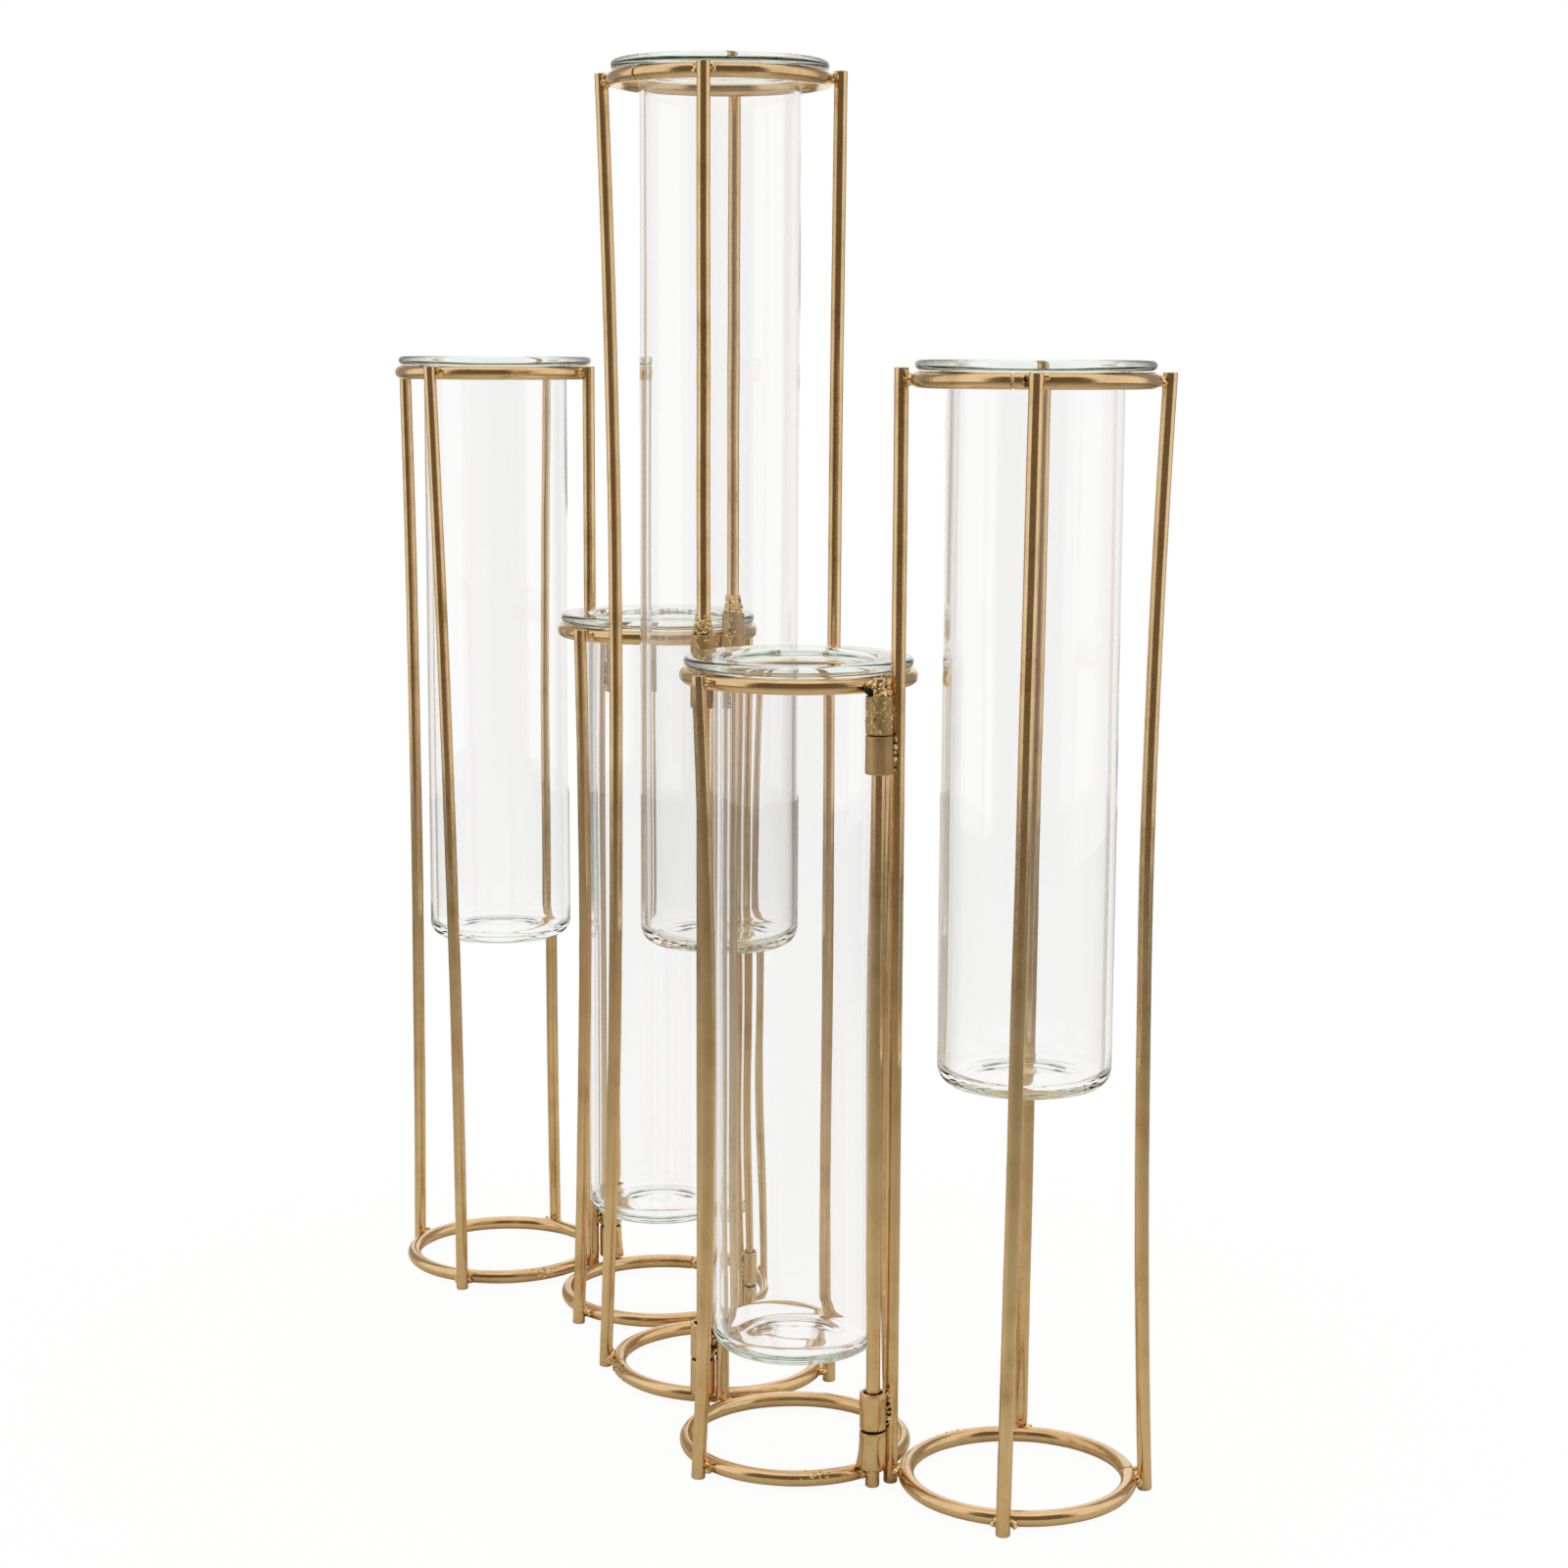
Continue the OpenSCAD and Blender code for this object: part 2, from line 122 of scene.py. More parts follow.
def lumps(points: np.ndarray, pitch: float, seed: int) -> np.ndarray:
    """Smooth lumpy noise from -1 to 1 at each point.

    It is the mean of nine plane waves, sin(k . p + phase), with seeded random directions and
    with wavelengths from 0.6 to 1.7 times the pitch, scaled so that its peaks reach about 1.

    Args:
        points: Array of points, the last axis x, y, z.
        pitch: Middle wavelength in mm.
        seed: Seed of the random directions and phases.

    Returns:
        One value for each point.
    """
    rng = np.random.default_rng(seed)
    ways = rng.normal(size=(9, 3))
    ways /= np.linalg.norm(ways, axis=1, keepdims=True)
    waves = ways * (2 * math.pi / (pitch * rng.uniform(0.6, 1.7, (9, 1))))
    phases = rng.uniform(0, 2 * math.pi, 9)
    return np.clip(np.sin(points @ waves.T + phases).mean(-1) * 2.2, -1, 1)


def bevel_fall(reach: np.ndarray, bevel: float) -> np.ndarray:
    """Fall of a round edge that far from an end: 1 - sqrt(1 - (1 - reach / bevel)^2), and then 0."""
    rest = 1 - np.clip(reach / bevel, 0, 1)
    return 1 - np.sqrt(np.clip(1 - rest ** 2, 0, 1))


def heading(turn: float) -> np.ndarray:
    """Level unit vector (cos, sin, 0) at that many degrees from X."""
    return np.array([math.cos(math.radians(turn)), math.sin(math.radians(turn)), 0.0])


def level_unit(way: np.ndarray) -> np.ndarray:
    """The level part of a direction, brought to the length 1."""
    level = way * (1.0, 1.0, 0.0)
    return level / np.linalg.norm(level)


def upright_axes(out: np.ndarray) -> np.ndarray:
    """Three unit axes, one row each: a level direction, up crossed with it, and up."""
    return np.stack([out, np.cross(UP, out), UP])


def swept(path: np.ndarray, radii: np.ndarray, hint: np.ndarray, sides: int) -> Shell:
    """Carry a circle along a path.

    Ring i is path[i] + radii[i] * (cos(t) * n[i] + sin(t) * b[i]), where the normal n is the hint
    with its part along the path taken out, and b is the tangent crossed with n.

    Args:
        path: Points of the centre line, one row each.
        radii: Radius at each point.
        hint: Direction that the normal follows.
        sides: Number of points round the circle.

    Returns:
        The swept shell, with its faces outwards.
    """
    ahead = np.concatenate([path[1:2] - path[:1], path[2:] - path[:-2], path[-1:] - path[-2:-1]])
    tangent = ahead / np.linalg.norm(ahead, axis=1, keepdims=True)
    normal = hint - (tangent * hint).sum(-1, keepdims=True) * tangent
    normal /= np.linalg.norm(normal, axis=1, keepdims=True)
    side = np.cross(tangent, normal)
    t = np.arange(sides) * 2 * math.pi / sides
    ring = np.cos(t)[None, :, None] * normal[:, None] + np.sin(t)[None, :, None] * side[:, None]
    points = path[:, None] + radii[:, None, None] * ring
    return Shell(points.reshape(-1, 3), grid_faces(len(path), sides, Joining.OPEN_ENDS))


def revolved(profile: np.ndarray, centre: np.ndarray, sides: int, joining: Joining) -> Shell:
    """Turn a half section about an upright axis.

    A profile point (r, z) becomes centre + (r cos(t), r sin(t), z) for t round the full turn.

    Args:
        profile: Points (r, z), from the low outside round to the inside.
        centre: Foot of the axis.
        sides: Number of points round the axis.
        joining: How the section closes, looped for a tube with a through bore.

    Returns:
        The turned shell.
    """
    t = np.arange(sides) * 2 * math.pi / sides
    r, z = profile[:, 0:1], profile[:, 1:2]
    points = np.stack([r * np.cos(t), r * np.sin(t), np.broadcast_to(z, (len(profile), sides))], -1)
    return Shell((points + centre).reshape(-1, 3), grid_faces(len(profile), sides, joining))


def arc(centre: Pair, radius: float, start: float, end: float, count: int) -> np.ndarray:
    """Points centre + radius * (cos t, sin t) for count angles t from start to end in degrees."""
    t = np.radians(np.linspace(start, end, count))
    return np.stack([centre[0] + radius * np.cos(t), centre[1] + radius * np.sin(t)], -1)


def along(start: Pair, end: Pair, count: int) -> np.ndarray:
    """Points start * (1 - s) + end * s for count evenly spaced s between 0 and 1, without both."""
    s = np.linspace(0, 1, count + 2)[1:-1, None]
    return np.array(start) * (1 - s) + np.array(end) * s


def bead(centre: np.ndarray, reach: np.ndarray, axes: np.ndarray, rough: float, seed: int,
         detail: int = 14) -> Shell:
    """A blob of weld metal: an ellipsoid whose radius is shaken by lumps.

    A point at the latitude u and longitude v is centre + s * (reach * (cos u cos v, cos u sin v,
    sin u)) in the blob's own axes, where s is 1 + rough * lumps at a pitch of 1.3 times its mean
    half width.

    Args:
        centre: Middle of the blob.
        reach: Half width along each of its axes.
        axes: Its three unit axes, one row each.
        rough: Share of its radius that the lumps add or take.
        seed: Seed of the lumps.
        detail: Number of rings from pole to pole.

    Returns:
        The closed blob.
    """
    u = np.linspace(-math.pi / 2 + POLE_GAP, math.pi / 2 - POLE_GAP, detail)[:, None]
    v = np.arange(detail * 2)[None] * math.pi / detail
    ball = np.stack([np.cos(u) * np.cos(v), np.cos(u) * np.sin(v), np.sin(u) + 0 * v], -1)
    place = (ball * reach) @ axes
    swell = 1 + rough * lumps(place + centre, float(np.mean(reach)) * 1.3, seed)
    points = centre + place * swell[..., None]
    return Shell(points.reshape(-1, 3), grid_faces(detail, detail * 2, Joining.OPEN_ENDS))


class Nodes:
    """A short way to place and join shader nodes."""

    def __init__(self, tree: bpy.types.NodeTree) -> None:
        """Empty the tree, to fill it."""
        self.tree = tree
        tree.nodes.clear()

    def add(self, kind: str, *sources: object, **values: object) -> bpy.types.Node:
        """Place one node. An input takes a value, or the output of another node.

        Args:
            kind: Its type name.
            sources: What its first inputs take, in their order.
            values: Properties of the node, or what its other inputs take, with _ for a space.

        Returns:
            The new node.
        """
        node = self.tree.nodes.new(kind)
        for key, value in values.items():
            if hasattr(node, key):
                setattr(node, key, value)
            else:
                self.feed(node.inputs[key.replace("_", " ")], value)
        for place, source in zip(node.inputs, sources):
            self.feed(place, source)
        return node

    def feed(self, place: Socket, source: object) -> None:
        """Give an input what it takes.

        Args:
            place: The input.
            source: A value, or the output of another node.
        """
        if isinstance(source, Socket):
            self.tree.links.new(source, place)
        else:
            place.default_value = source

    def math(self, operation: str, a: object, b: object = 0.0) -> Socket:
        """Work out one number from one or two numbers or outputs, by a sum such as MULTIPLY."""
        return self.add("ShaderNodeMath", a, b, operation=operation).outputs[0]

    def ramp(self, source: Socket, stops: list[tuple[float, tuple]]) -> Socket:
        """Turn a number into a colour.

        Args:
            source: The number.
            stops: Pairs of place and colour.

        Returns:
            The colour output.
        """
        node = self.add("ShaderNodeValToRGB", source)
        while len(node.color_ramp.elements) < len(stops):
            node.color_ramp.elements.new(0.5)
        for element, (place, colour) in zip(node.color_ramp.elements, stops):
            element.position = place
            element.color = (*colour, 1.0)
        return node.outputs[0]

    def mapped(self, source: Socket, start: Pair, end: Pair = (0.0, 1.0), **values: object) -> Socket:
        """Map a number from the range start to the range end."""
        return self.add("ShaderNodeMapRange", source, *start, *end, **values).outputs[0]

    def metal(self, colour: Socket, gloss: Socket, height: Socket, depth: float) -> None:
        """Finish a metal.

        Args:
            colour: Its colour.
            gloss: Its roughness.
            height: Height of its relief, from 0 to 1.
            depth: Depth of the relief in mm.
        """
        relief = self.add("ShaderNodeBump", Strength=1.0, Distance=depth * MM, Height=height)
        shader = self.add("ShaderNodeBsdfPrincipled", colour, Metallic=1.0, Roughness=gloss,
                          Normal=relief.outputs[0])
        self.add("ShaderNodeOutputMaterial", shader.outputs[0])

    def noise(self, per_mm: float, detail: float, strength: float = 0.5) -> Socket:
        """Noise on the object's own coordinates.

        Args:
            per_mm: Number of lumps in a millimetre.
            detail: Number of finer layers.
            strength: Strength of those layers.

        Returns:
            The noise value.
        """
        place = self.add("ShaderNodeTexCoord").outputs["Object"]
        node = self.add("ShaderNodeTexNoise", place, Scale=per_mm / MM, Detail=detail, Roughness=strength)
        return node.outputs[0]


def new_material(name: str) -> tuple[Material, Nodes]:
    """Make an empty node material.

    Args:
        name: Its name.

    Returns:
        The material and its nodes.
    """
    material = bpy.data.materials.new(name)
    material.use_nodes = True
    return material, Nodes(material.node_tree)


@dataclass(frozen=True)
class GoldLacquer:
    """Glossy gold finish of the wire, with a fine sandy speckle and faint browner clouds."""

    name: str = "glossy_gold_wire"
    bright: tuple = (0.84, 0.595, 0.34)
    middle: tuple = (0.76, 0.525, 0.28)
    brown: tuple = (0.58, 0.365, 0.165)
    smooth: float = 0.11
    rough: float = 0.22
    speckle_per_mm: float = 2.2
    speckle_depth: float = 0.009
    clouds_per_mm: float = 0.07
    clouds_share: float = 0.6

    def make(self) -> Material:
        """Build the material: colour from clouds and speckle, gloss and relief from the speckle.

        Returns:
            The material.
        """
        material, nodes = new_material(self.name)
        clouds = nodes.noise(self.clouds_per_mm, 3.0, 0.6)
        speckle = nodes.noise(self.speckle_per_mm, 3.0, 0.6)
        blend = nodes.math("ADD", nodes.math("MULTIPLY", clouds, self.clouds_share),
                           nodes.math("MULTIPLY", speckle, 1 - self.clouds_share))
        colour = nodes.ramp(blend, [(0.34, self.brown), (0.46, self.middle), (0.62, self.bright)])
        gloss = nodes.mapped(speckle, (0.35, 0.65), (self.smooth, self.rough))
        nodes.metal(colour, gloss, speckle, self.speckle_depth)
        return material


@dataclass(frozen=True)
class WeldMetal:
    """Brazed metal: shiny gold lumps with a little soot in their hollows."""

    name: str = "lumpy_weld_gold"
    gold: tuple = (0.93, 0.71, 0.40)
    brown: tuple = (0.50, 0.31, 0.13)
    soot: tuple = (0.05, 0.038, 0.028)
    patches_per_mm: float = 0.5
    grains_per_mm: float = 1.6
    grain_depth: float = 0.05
    rough: float = 0.32
    smooth: float = 0.07

    def make(self) -> Material:
        """Build the material: soot in the low places of a coarse noise, and grains from a fine one.

        Returns:
            The material.
        """
        material, nodes = new_material(self.name)
        patches = nodes.noise(self.patches_per_mm, 4.0, 0.65)
        grains = nodes.noise(self.grains_per_mm, 3.0, 0.65)
        colour = nodes.ramp(patches, [(0.33, self.soot), (0.41, self.brown), (0.49, self.gold)])
        gloss = nodes.mapped(patches, (0.35, 0.5), (self.rough, self.smooth))
        nodes.metal(colour, gloss, grains, self.grain_depth)
        return material


@dataclass(frozen=True)
class SpatteredTube:
    """Satin gold of a collar that the weld has spattered: shiny drops and fine grains on it."""

    name: str = "spattered_gold_tube"
    gold: tuple = (0.56, 0.38, 0.185)
    drop: tuple = (0.95, 0.74, 0.45)
    drops_per_mm: float = 1.05
    grains_per_mm: float = 3.2
    clumps_per_mm: float = 0.24
    relief: float = 0.42
    grain_share: float = 0.45
    rough: float = 0.34
    smooth: float = 0.1

    def make(self) -> Material:
        """Build the material: each cell of a cellular pattern holds a round drop, where a noise lets it.

        Returns:
            The material.
        """
        material, nodes = new_material(self.name)
        place = nodes.add("ShaderNodeTexCoord").outputs["Object"]
        cells = nodes.add("ShaderNodeTexVoronoi", place, Scale=self.drops_per_mm / MM)
        dome = nodes.mapped(cells.outputs["Distance"], (0.12, 0.42), (1.0, 0.0))
        clumps = nodes.mapped(nodes.noise(self.clumps_per_mm, 1.0), (0.47, 0.55))
        drops = nodes.math("MULTIPLY", dome, clumps)
        grains = nodes.math("MULTIPLY", nodes.noise(self.grains_per_mm, 2.0, 0.6), self.grain_share)
        colour = nodes.ramp(drops, [(0.0, self.gold), (0.5, self.drop)])
        gloss = nodes.mapped(drops, (0.0, 0.4), (self.rough, self.smooth))
        nodes.metal(colour, gloss, nodes.math("ADD", drops, grains), self.relief)
        return material


@dataclass(frozen=True)
class ClearTube:
    """Clear glass of a tube, faintly green, with a greener skin over the flange."""

    name: str
    flange_foot: float
    index: float = 1.47
    skin: tuple = (0.985, 0.985, 0.985)
    flange: tuple = (0.93, 0.97, 0.93)
    absorbed: tuple = (0.64, 0.80, 0.62)
    density: float = 4.0

    def make(self) -> Material:
        """Build the material: a clear refracting skin, tinted over the flange, round an absorbing body.

        Returns:
            The material.
        """
        material, nodes = new_material(self.name)
        place = nodes.add("ShaderNodeTexCoord").outputs["Object"]
        z = nodes.add("ShaderNodeSeparateXYZ", place).outputs[2]
        rise = nodes.mapped(z, ((self.flange_foot - 1.0) * MM, self.flange_foot * MM))
        tint = nodes.ramp(rise, [(0.0, self.skin), (1.0, self.flange)])
        shader = nodes.add("ShaderNodeBsdfPrincipled", tint, Roughness=0.0, IOR=self.index,
                           Transmission_Weight=1.0)
        body = nodes.add("ShaderNodeVolumeAbsorption", (*self.absorbed, 1.0), self.density)
        nodes.add("ShaderNodeOutputMaterial", shader.outputs[0], body.outputs[0])
        return material


class Finish(Enum):
    """The finishes of the row, each with the record's slot that it belongs to and its kind."""

    GOLD = ("gold_wire", "lacquer")
    SATIN = ("gold_wire", "satin tube")
    SPATTERED = ("gold_wire", "spattered tube")
    WELD = ("gold_wire", "weld")
    # dark finish of burnt weld lumps, also used as painted shade in the hinge gaps and barrel mouths
    SCORCH_AND_SHADE = ("gold_wire", "scorch_and_shade")
    GLASS = ("clear_glass", "tube")

    @property
    def slot(self) -> str:
        """Name of the record's slot."""
        return self.value[0]


class Workshop:
    """Makes meshes into dressed pieces and reports them."""

    def __init__(self) -> None:
        """Make one material for each finish."""
        self.materials = {
            Finish.GOLD: GoldLacquer().make(),
            Finish.SATIN: GoldLacquer("satin_gold_tube", (0.66, 0.46, 0.235), (0.57, 0.385, 0.19),
                                      (0.42, 0.27, 0.125), smooth=0.44, rough=0.54, speckle_per_mm=3.0,
                                      speckle_depth=0.014).make(),
            Finish.SPATTERED: SpatteredTube().make(),
            Finish.WELD: WeldMetal().make(),
            # dark scorch colour: burnt weld lumps, and painted shade rings in the hinge gap and barrel mouth
            Finish.SCORCH_AND_SHADE: GoldLacquer("scorch_and_painted_shade_gold", (0.12, 0.08, 0.05), (0.05, 0.036, 0.026),
                                       (0.03, 0.022, 0.016), smooth=0.45, rough=0.7, speckle_per_mm=1.2,
                                       speckle_depth=0.05).make(),
        }
        self.glasses: dict[float, Material] = {}

    def glass(self, flange_foot: float) -> Material:
        """Find or make the glass of the tubes of one height, which share it.

        Args:
            flange_foot: Height where their flanges start, in mm.

        Returns:
            The material.
        """
        if flange_foot not in self.glasses:
            name = f"clear_tube_glass_{flange_foot:.0f}"
            self.glasses[flange_foot] = ClearTube(name, flange_foot).make()
        return self.glasses[flange_foot]

    def dress(self, name: str, shell: Shell, finish: Finish, body: str, node: str | None = None,
              material: Material | None = None) -> bpy.types.Object:
        """Make a shell into a piece that rides on a body.

        Args:
            name: Name of the piece.
            shell: Its surface in mm.
            finish: Its finish.
            body: The CAD body that it moves with.
            node: The CAD node that it stands for, if it stands for one.
            material: Its material, where the finish has more than one.

        Returns:
            The finished object.
        """
        mesh = bpy.data.meshes.new(name)
        mesh.from_pydata((shell.points * MM).tolist(), [], shell.faces)
        mesh.polygons.foreach_set("use_smooth", np.array([len(f) == 4 for f in shell.faces]))
        mesh.materials.append(material or self.materials[finish])
        mesh.update()
        piece = bpy.data.objects.new(name, mesh)
        bpy.context.scene.collection.objects.link(piece)
        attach(piece, body)
        if node:
            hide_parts(node)
        LOG.info("%s: %d faces on %s", name, len(shell.faces), body)
        return piece


def cad_points(node: str) -> np.ndarray:
    """Read the points of a CAD node.

    Args:
        node: Its name.

    Returns:
        All its points in mm, one row each.
    """
    mesh = frame["nodes"][node].data
    flat = np.zeros(len(mesh.vertices) * 3, np.float32)
    mesh.vertices.foreach_get("co", flat)
    return flat.reshape(-1, 3).astype(float) / MM


def cut_end(node: str, top: bool) -> np.ndarray:
    """Middle of a leg's cut end.

    Args:
        node: The leg's CAD node.
        top: Whether the upper end is wanted.

    Returns:
        The middle of the box round the points at that end.
    """
    points = cad_points(node)
    z = points[:, 2].max() if top else points[:, 2].min()
    level = points[np.abs(points[:, 2] - z) < LEVEL_CUT]
    return (level.min(0) + level.max(0)) / 2


def frame_centre(stand: str) -> np.ndarray:
    """Foot of a stand's middle line, found from the box round its base ring."""
    points = cad_points(f"{stand}_base_ring")
    return (points.min(0) + points.max(0)) / 2 * (1.0, 1.0, 0.0)


@dataclass
class WireRing:
    """A ring bent from wire, closed at a butt seam."""

    centre: np.ndarray
    seam: float
    seed: int
    middle_r: float
    wire_r: float
    seam_gap: float = 0.4
    bevel: float = 0.45
    bevel_share: float = 0.16
    waver: float = 0.03
    waver_pitch: float = 14.0
    steps: int = 300
    sides: int = 36

    def shell(self) -> Shell:
        """Sweep the wire round the ring from one side of the seam to the other.

        The centre line is centre + middle_r * (cos a, sin a, 0). The wire's radius falls off near
        its two ends as the last part of a circle, which bevels them, and wavers a little inwards.

        Returns:
            The ring's shell.
        """
        gap = math.degrees(self.seam_gap / self.middle_r)
        a = np.radians(np.linspace(self.seam + gap / 2, self.seam + 360 - gap / 2, self.steps))
        ends = np.radians(np.linspace(0, math.degrees(self.bevel / self.middle_r), 6))
        a = np.concatenate([a[0] + ends[:-1], a[2:-2], a[-1] - ends[:-1][::-1]])
        path = self.centre + self.middle_r * np.stack([np.cos(a), np.sin(a), 0 * a], -1)
        fall = bevel_fall(np.minimum(a - a[0], a[-1] - a) * self.middle_r, self.bevel)
        waver = self.waver * (lumps(path, self.waver_pitch, self.seed) - 1)
        return swept(path, self.wire_r * (1 - self.bevel_share * fall) + waver, UP, self.sides)


@dataclass
class WireLeg:
    """A leg between its places on the two rings, bowed towards the glass."""

    foot: np.ndarray
    head: np.ndarray
    inward: np.ndarray
    bow: float
    seed: int
    wire_r: float = 2.0
    bevel: float = 0.4
    bevel_share: float = 0.2
    waver: float = 0.12
    waver_pitch: float = 90.0
    lump_t: float = 0.025
    lump_pitch: float = 9.0
    thinner: float = 0.02
    cut_length: float = 1.5
    step: float = 2.0
    sides: int = 28

    def centre_line(self, z: np.ndarray) -> np.ndarray:
        """Points of the leg's axis at these heights.

        The axis is the line from foot to head plus inward * bow * 4 s (1 - s), where s is the
        share of the height, and a waver that dies out at both ends.

        Args:
            z: The heights.

        Returns:
            The points, one row each.
        """
        s = ((z - self.foot[2]) / (self.head[2] - self.foot[2]))[:, None]
        line = self.foot * (1 - s) + self.head * s
        sway = [lumps(line, self.waver_pitch, self.seed + k) for k in range(2)]
        waver = self.waver * np.stack([*sway, 0 * z], -1)
        return line + 4 * s * (1 - s) * (self.inward * self.bow + waver)

    def shell(self) -> Shell:
        """Sweep the wire up the axis, with both ends cut level.

        The radius falls off at both ends as a quarter circle, which bevels them, and has fine lumps.

        Returns:
            The leg's shell.
        """
        low, high = self.foot[2], self.head[2]
        edge = self.bevel * (1 - np.cos(np.linspace(0, math.pi / 2, 5)))
        between = np.arange(low + self.cut_length, high - self.cut_length, self.step)
        z = np.concatenate([low + edge, between, high - edge[::-1]])
        path = self.centre_line(z)
        fall = bevel_fall(np.minimum(z - low, high - z), self.bevel)
        relief = self.lump_t * lumps(path, self.lump_pitch, self.seed + 2)
        radii = self.wire_r * (1 - self.bevel_share * fall) - self.thinner + relief
        wire = swept(path, radii, self.inward, self.sides)
        wire.points[:, 2] = np.clip(wire.points[:, 2], low, high)
        return wire


@dataclass
class GlassTube:
    """A round-bottomed tube that hangs by its flange."""

    foot: np.ndarray
    length: float
    flange_t: float
    seed: int
    outer_r: float = 24.0
    wall: float = 1.8
    flange_r: float = 32.25
    fillet: float = 2.0
    mouth: float = 2.0
    heel: float = 5.0
    base_t: float = 3.2
    dimple_r: float = 13.5
    dimple_t: float = 1.2
    knob_t: float = 0.7
    knob_r: float = 7.0
    groove_t: float = 0.35
    groove_r: float = 15.0
    groove_w: float = 3.0
    pole_r: float = 0.4
    waver: float = 0.05
    outer_pitch: float = 34.0
    bore_pitch: float = 28.0
    stretch: float = 0.35
    still_r: float = 10.0
    fade_w: float = 12.0
    flange_share: float = 0.5
    sides: int = 160

    def section(self) -> np.ndarray:
        """Half section from the middle of the hollow underneath, up the outside and down the bore.

        The hollow is dimple_t * (1 - (r / dimple_r)^2) high. The floor of the bore is base_t high,
        with a knob of knob_t * exp(-(r / knob_r)^2) in its middle and round it a groove of
        groove_t * exp(-((r - groove_r) / groove_w)^2).

        Returns:
            Points (r, z), one row each.
        """
        wide, heel, fillet, mouth = self.outer_r, self.heel, self.fillet, self.mouth
        bore, inner_heel, lip = wide - self.wall, heel - self.wall, self.flange_t / 2
        top, ledge, rim = self.length, self.length - self.flange_t, self.flange_r - lip
        r = np.linspace(self.pole_r, self.dimple_r, 14)
        hollow = np.stack([r, self.dimple_t * (1 - (r / self.dimple_r) ** 2)], -1)
        r = np.linspace(bore - inner_heel - 0.3, self.pole_r, 16)
        knob = self.knob_t * np.exp(-((r / self.knob_r) ** 2))
        groove = self.groove_t * np.exp(-(((r - self.groove_r) / self.groove_w) ** 2))
        floor = np.stack([r, self.base_t + knob - groove], -1)
        return np.vstack([
            hollow,
            along((self.dimple_r, 0), (wide - heel, 0), 2),
            arc((wide - heel, heel), heel, -90, 0, 10),
            along((wide, heel), (wide, ledge - fillet), 60),
            arc((wide + fillet, ledge - fillet), fillet, 180, 90, 8),
            along((wide + fillet, ledge), (rim, ledge), 4),
            arc((rim, top - lip), lip, -90, 90, 10),
            along((rim, top), (bore + mouth, top), 5),
            arc((bore + mouth, top - mouth), mouth, 90, 180, 8),
            along((bore, top - mouth), (bore, self.base_t + inner_heel), 60),
            arc((bore - inner_heel, self.base_t + inner_heel), inner_heel, 0, -90, 8),
            floor,
        ])

    def shell(self) -> Shell:
        """Turn the section, then let each wall waver a little, as drawn tube does.

        Every point moves inwards along its radius by waver * (1 - lumps), and less near the axis
        and in the flange. The lumps are long up the tube, and aren't the same outside and in the
        bore.

        Returns:
            The tube's shell.
        """
        shell = revolved(self.section(), np.zeros(3), self.sides, Joining.OPEN_ENDS)
        points = shell.points
        r = np.hypot(points[:, 0], points[:, 1])
        stretched = points * (1.0, 1.0, self.stretch)
        outer = lumps(stretched, self.outer_pitch, self.seed)
        bore = lumps(stretched, self.bore_pitch, self.seed + 7)
        shake = np.where(r > self.outer_r - self.wall / 2, outer, bore)
        fade = np.clip((r - self.still_r) / self.fade_w, 0, 1)
        fade *= np.where(r > self.outer_r + self.fillet + 1, self.flange_share, 1.0)
        points[:, :2] *= (1 + self.waver * (shake - 1) * fade / np.maximum(r, 1))[:, None]
        return Shell(points + self.foot, shell.faces)


@dataclass
class HingeTube:
    """A short cut length of tube round a pin leg."""

    foot: np.ndarray
    length: float
    outer_r: float
    flare: float
    flare_turn: float
    seed: int
    bore_r: float = 2.8
    bevel: float = 0.3
    flare_height: float = 9.0
    dent: float = 0.04
    dent_pitch: float = 5.0
    sides: int = 40

    def shell(self) -> Shell:
        """Turn a closed section with both outer edges and both mouths bevelled.

        It is dented inwards by dent * (1 - lumps). A flare moves the outside out by
        flare * (1 - z / flare_height)^2 at the height z, times the square of cos a at the angle a
        from the flare's direction.

        Returns:
            The tube's shell.
        """
        o, b, e, h = self.outer_r, self.bore_r, self.bevel, self.length
        section = np.vstack([
            arc((o - e, e), e, -90, 0, 4), along((o, e), (o, h - e), 7), arc((o - e, h - e), e, 0, 90, 4),
            arc((b + e, h - e), e, 90, 180, 4), along((b, h - e), (b, e), 5),
            arc((b + e, e), e, 180, 270, 4),
        ])
        shell = revolved(section, self.foot, self.sides, Joining.LOOPED)
        out = shell.points - self.foot
        r = np.hypot(out[:, 0], out[:, 1])[:, None]
        dent = self.dent * (lumps(out, self.dent_pitch, self.seed)[:, None] - 1)
        lobe = np.clip((out @ heading(self.flare_turn))[:, None] / r, 0, 1) ** 2
        fade = np.clip(1 - out[:, 2:] / self.flare_height, 0, 1) ** 2
        skirt = self.flare * lobe * fade * (r > (o + b) / 2)
        return Shell(shell.points + (dent + skirt) * np.hstack([out[:, :2], 0 * r]) / r, shell.faces)


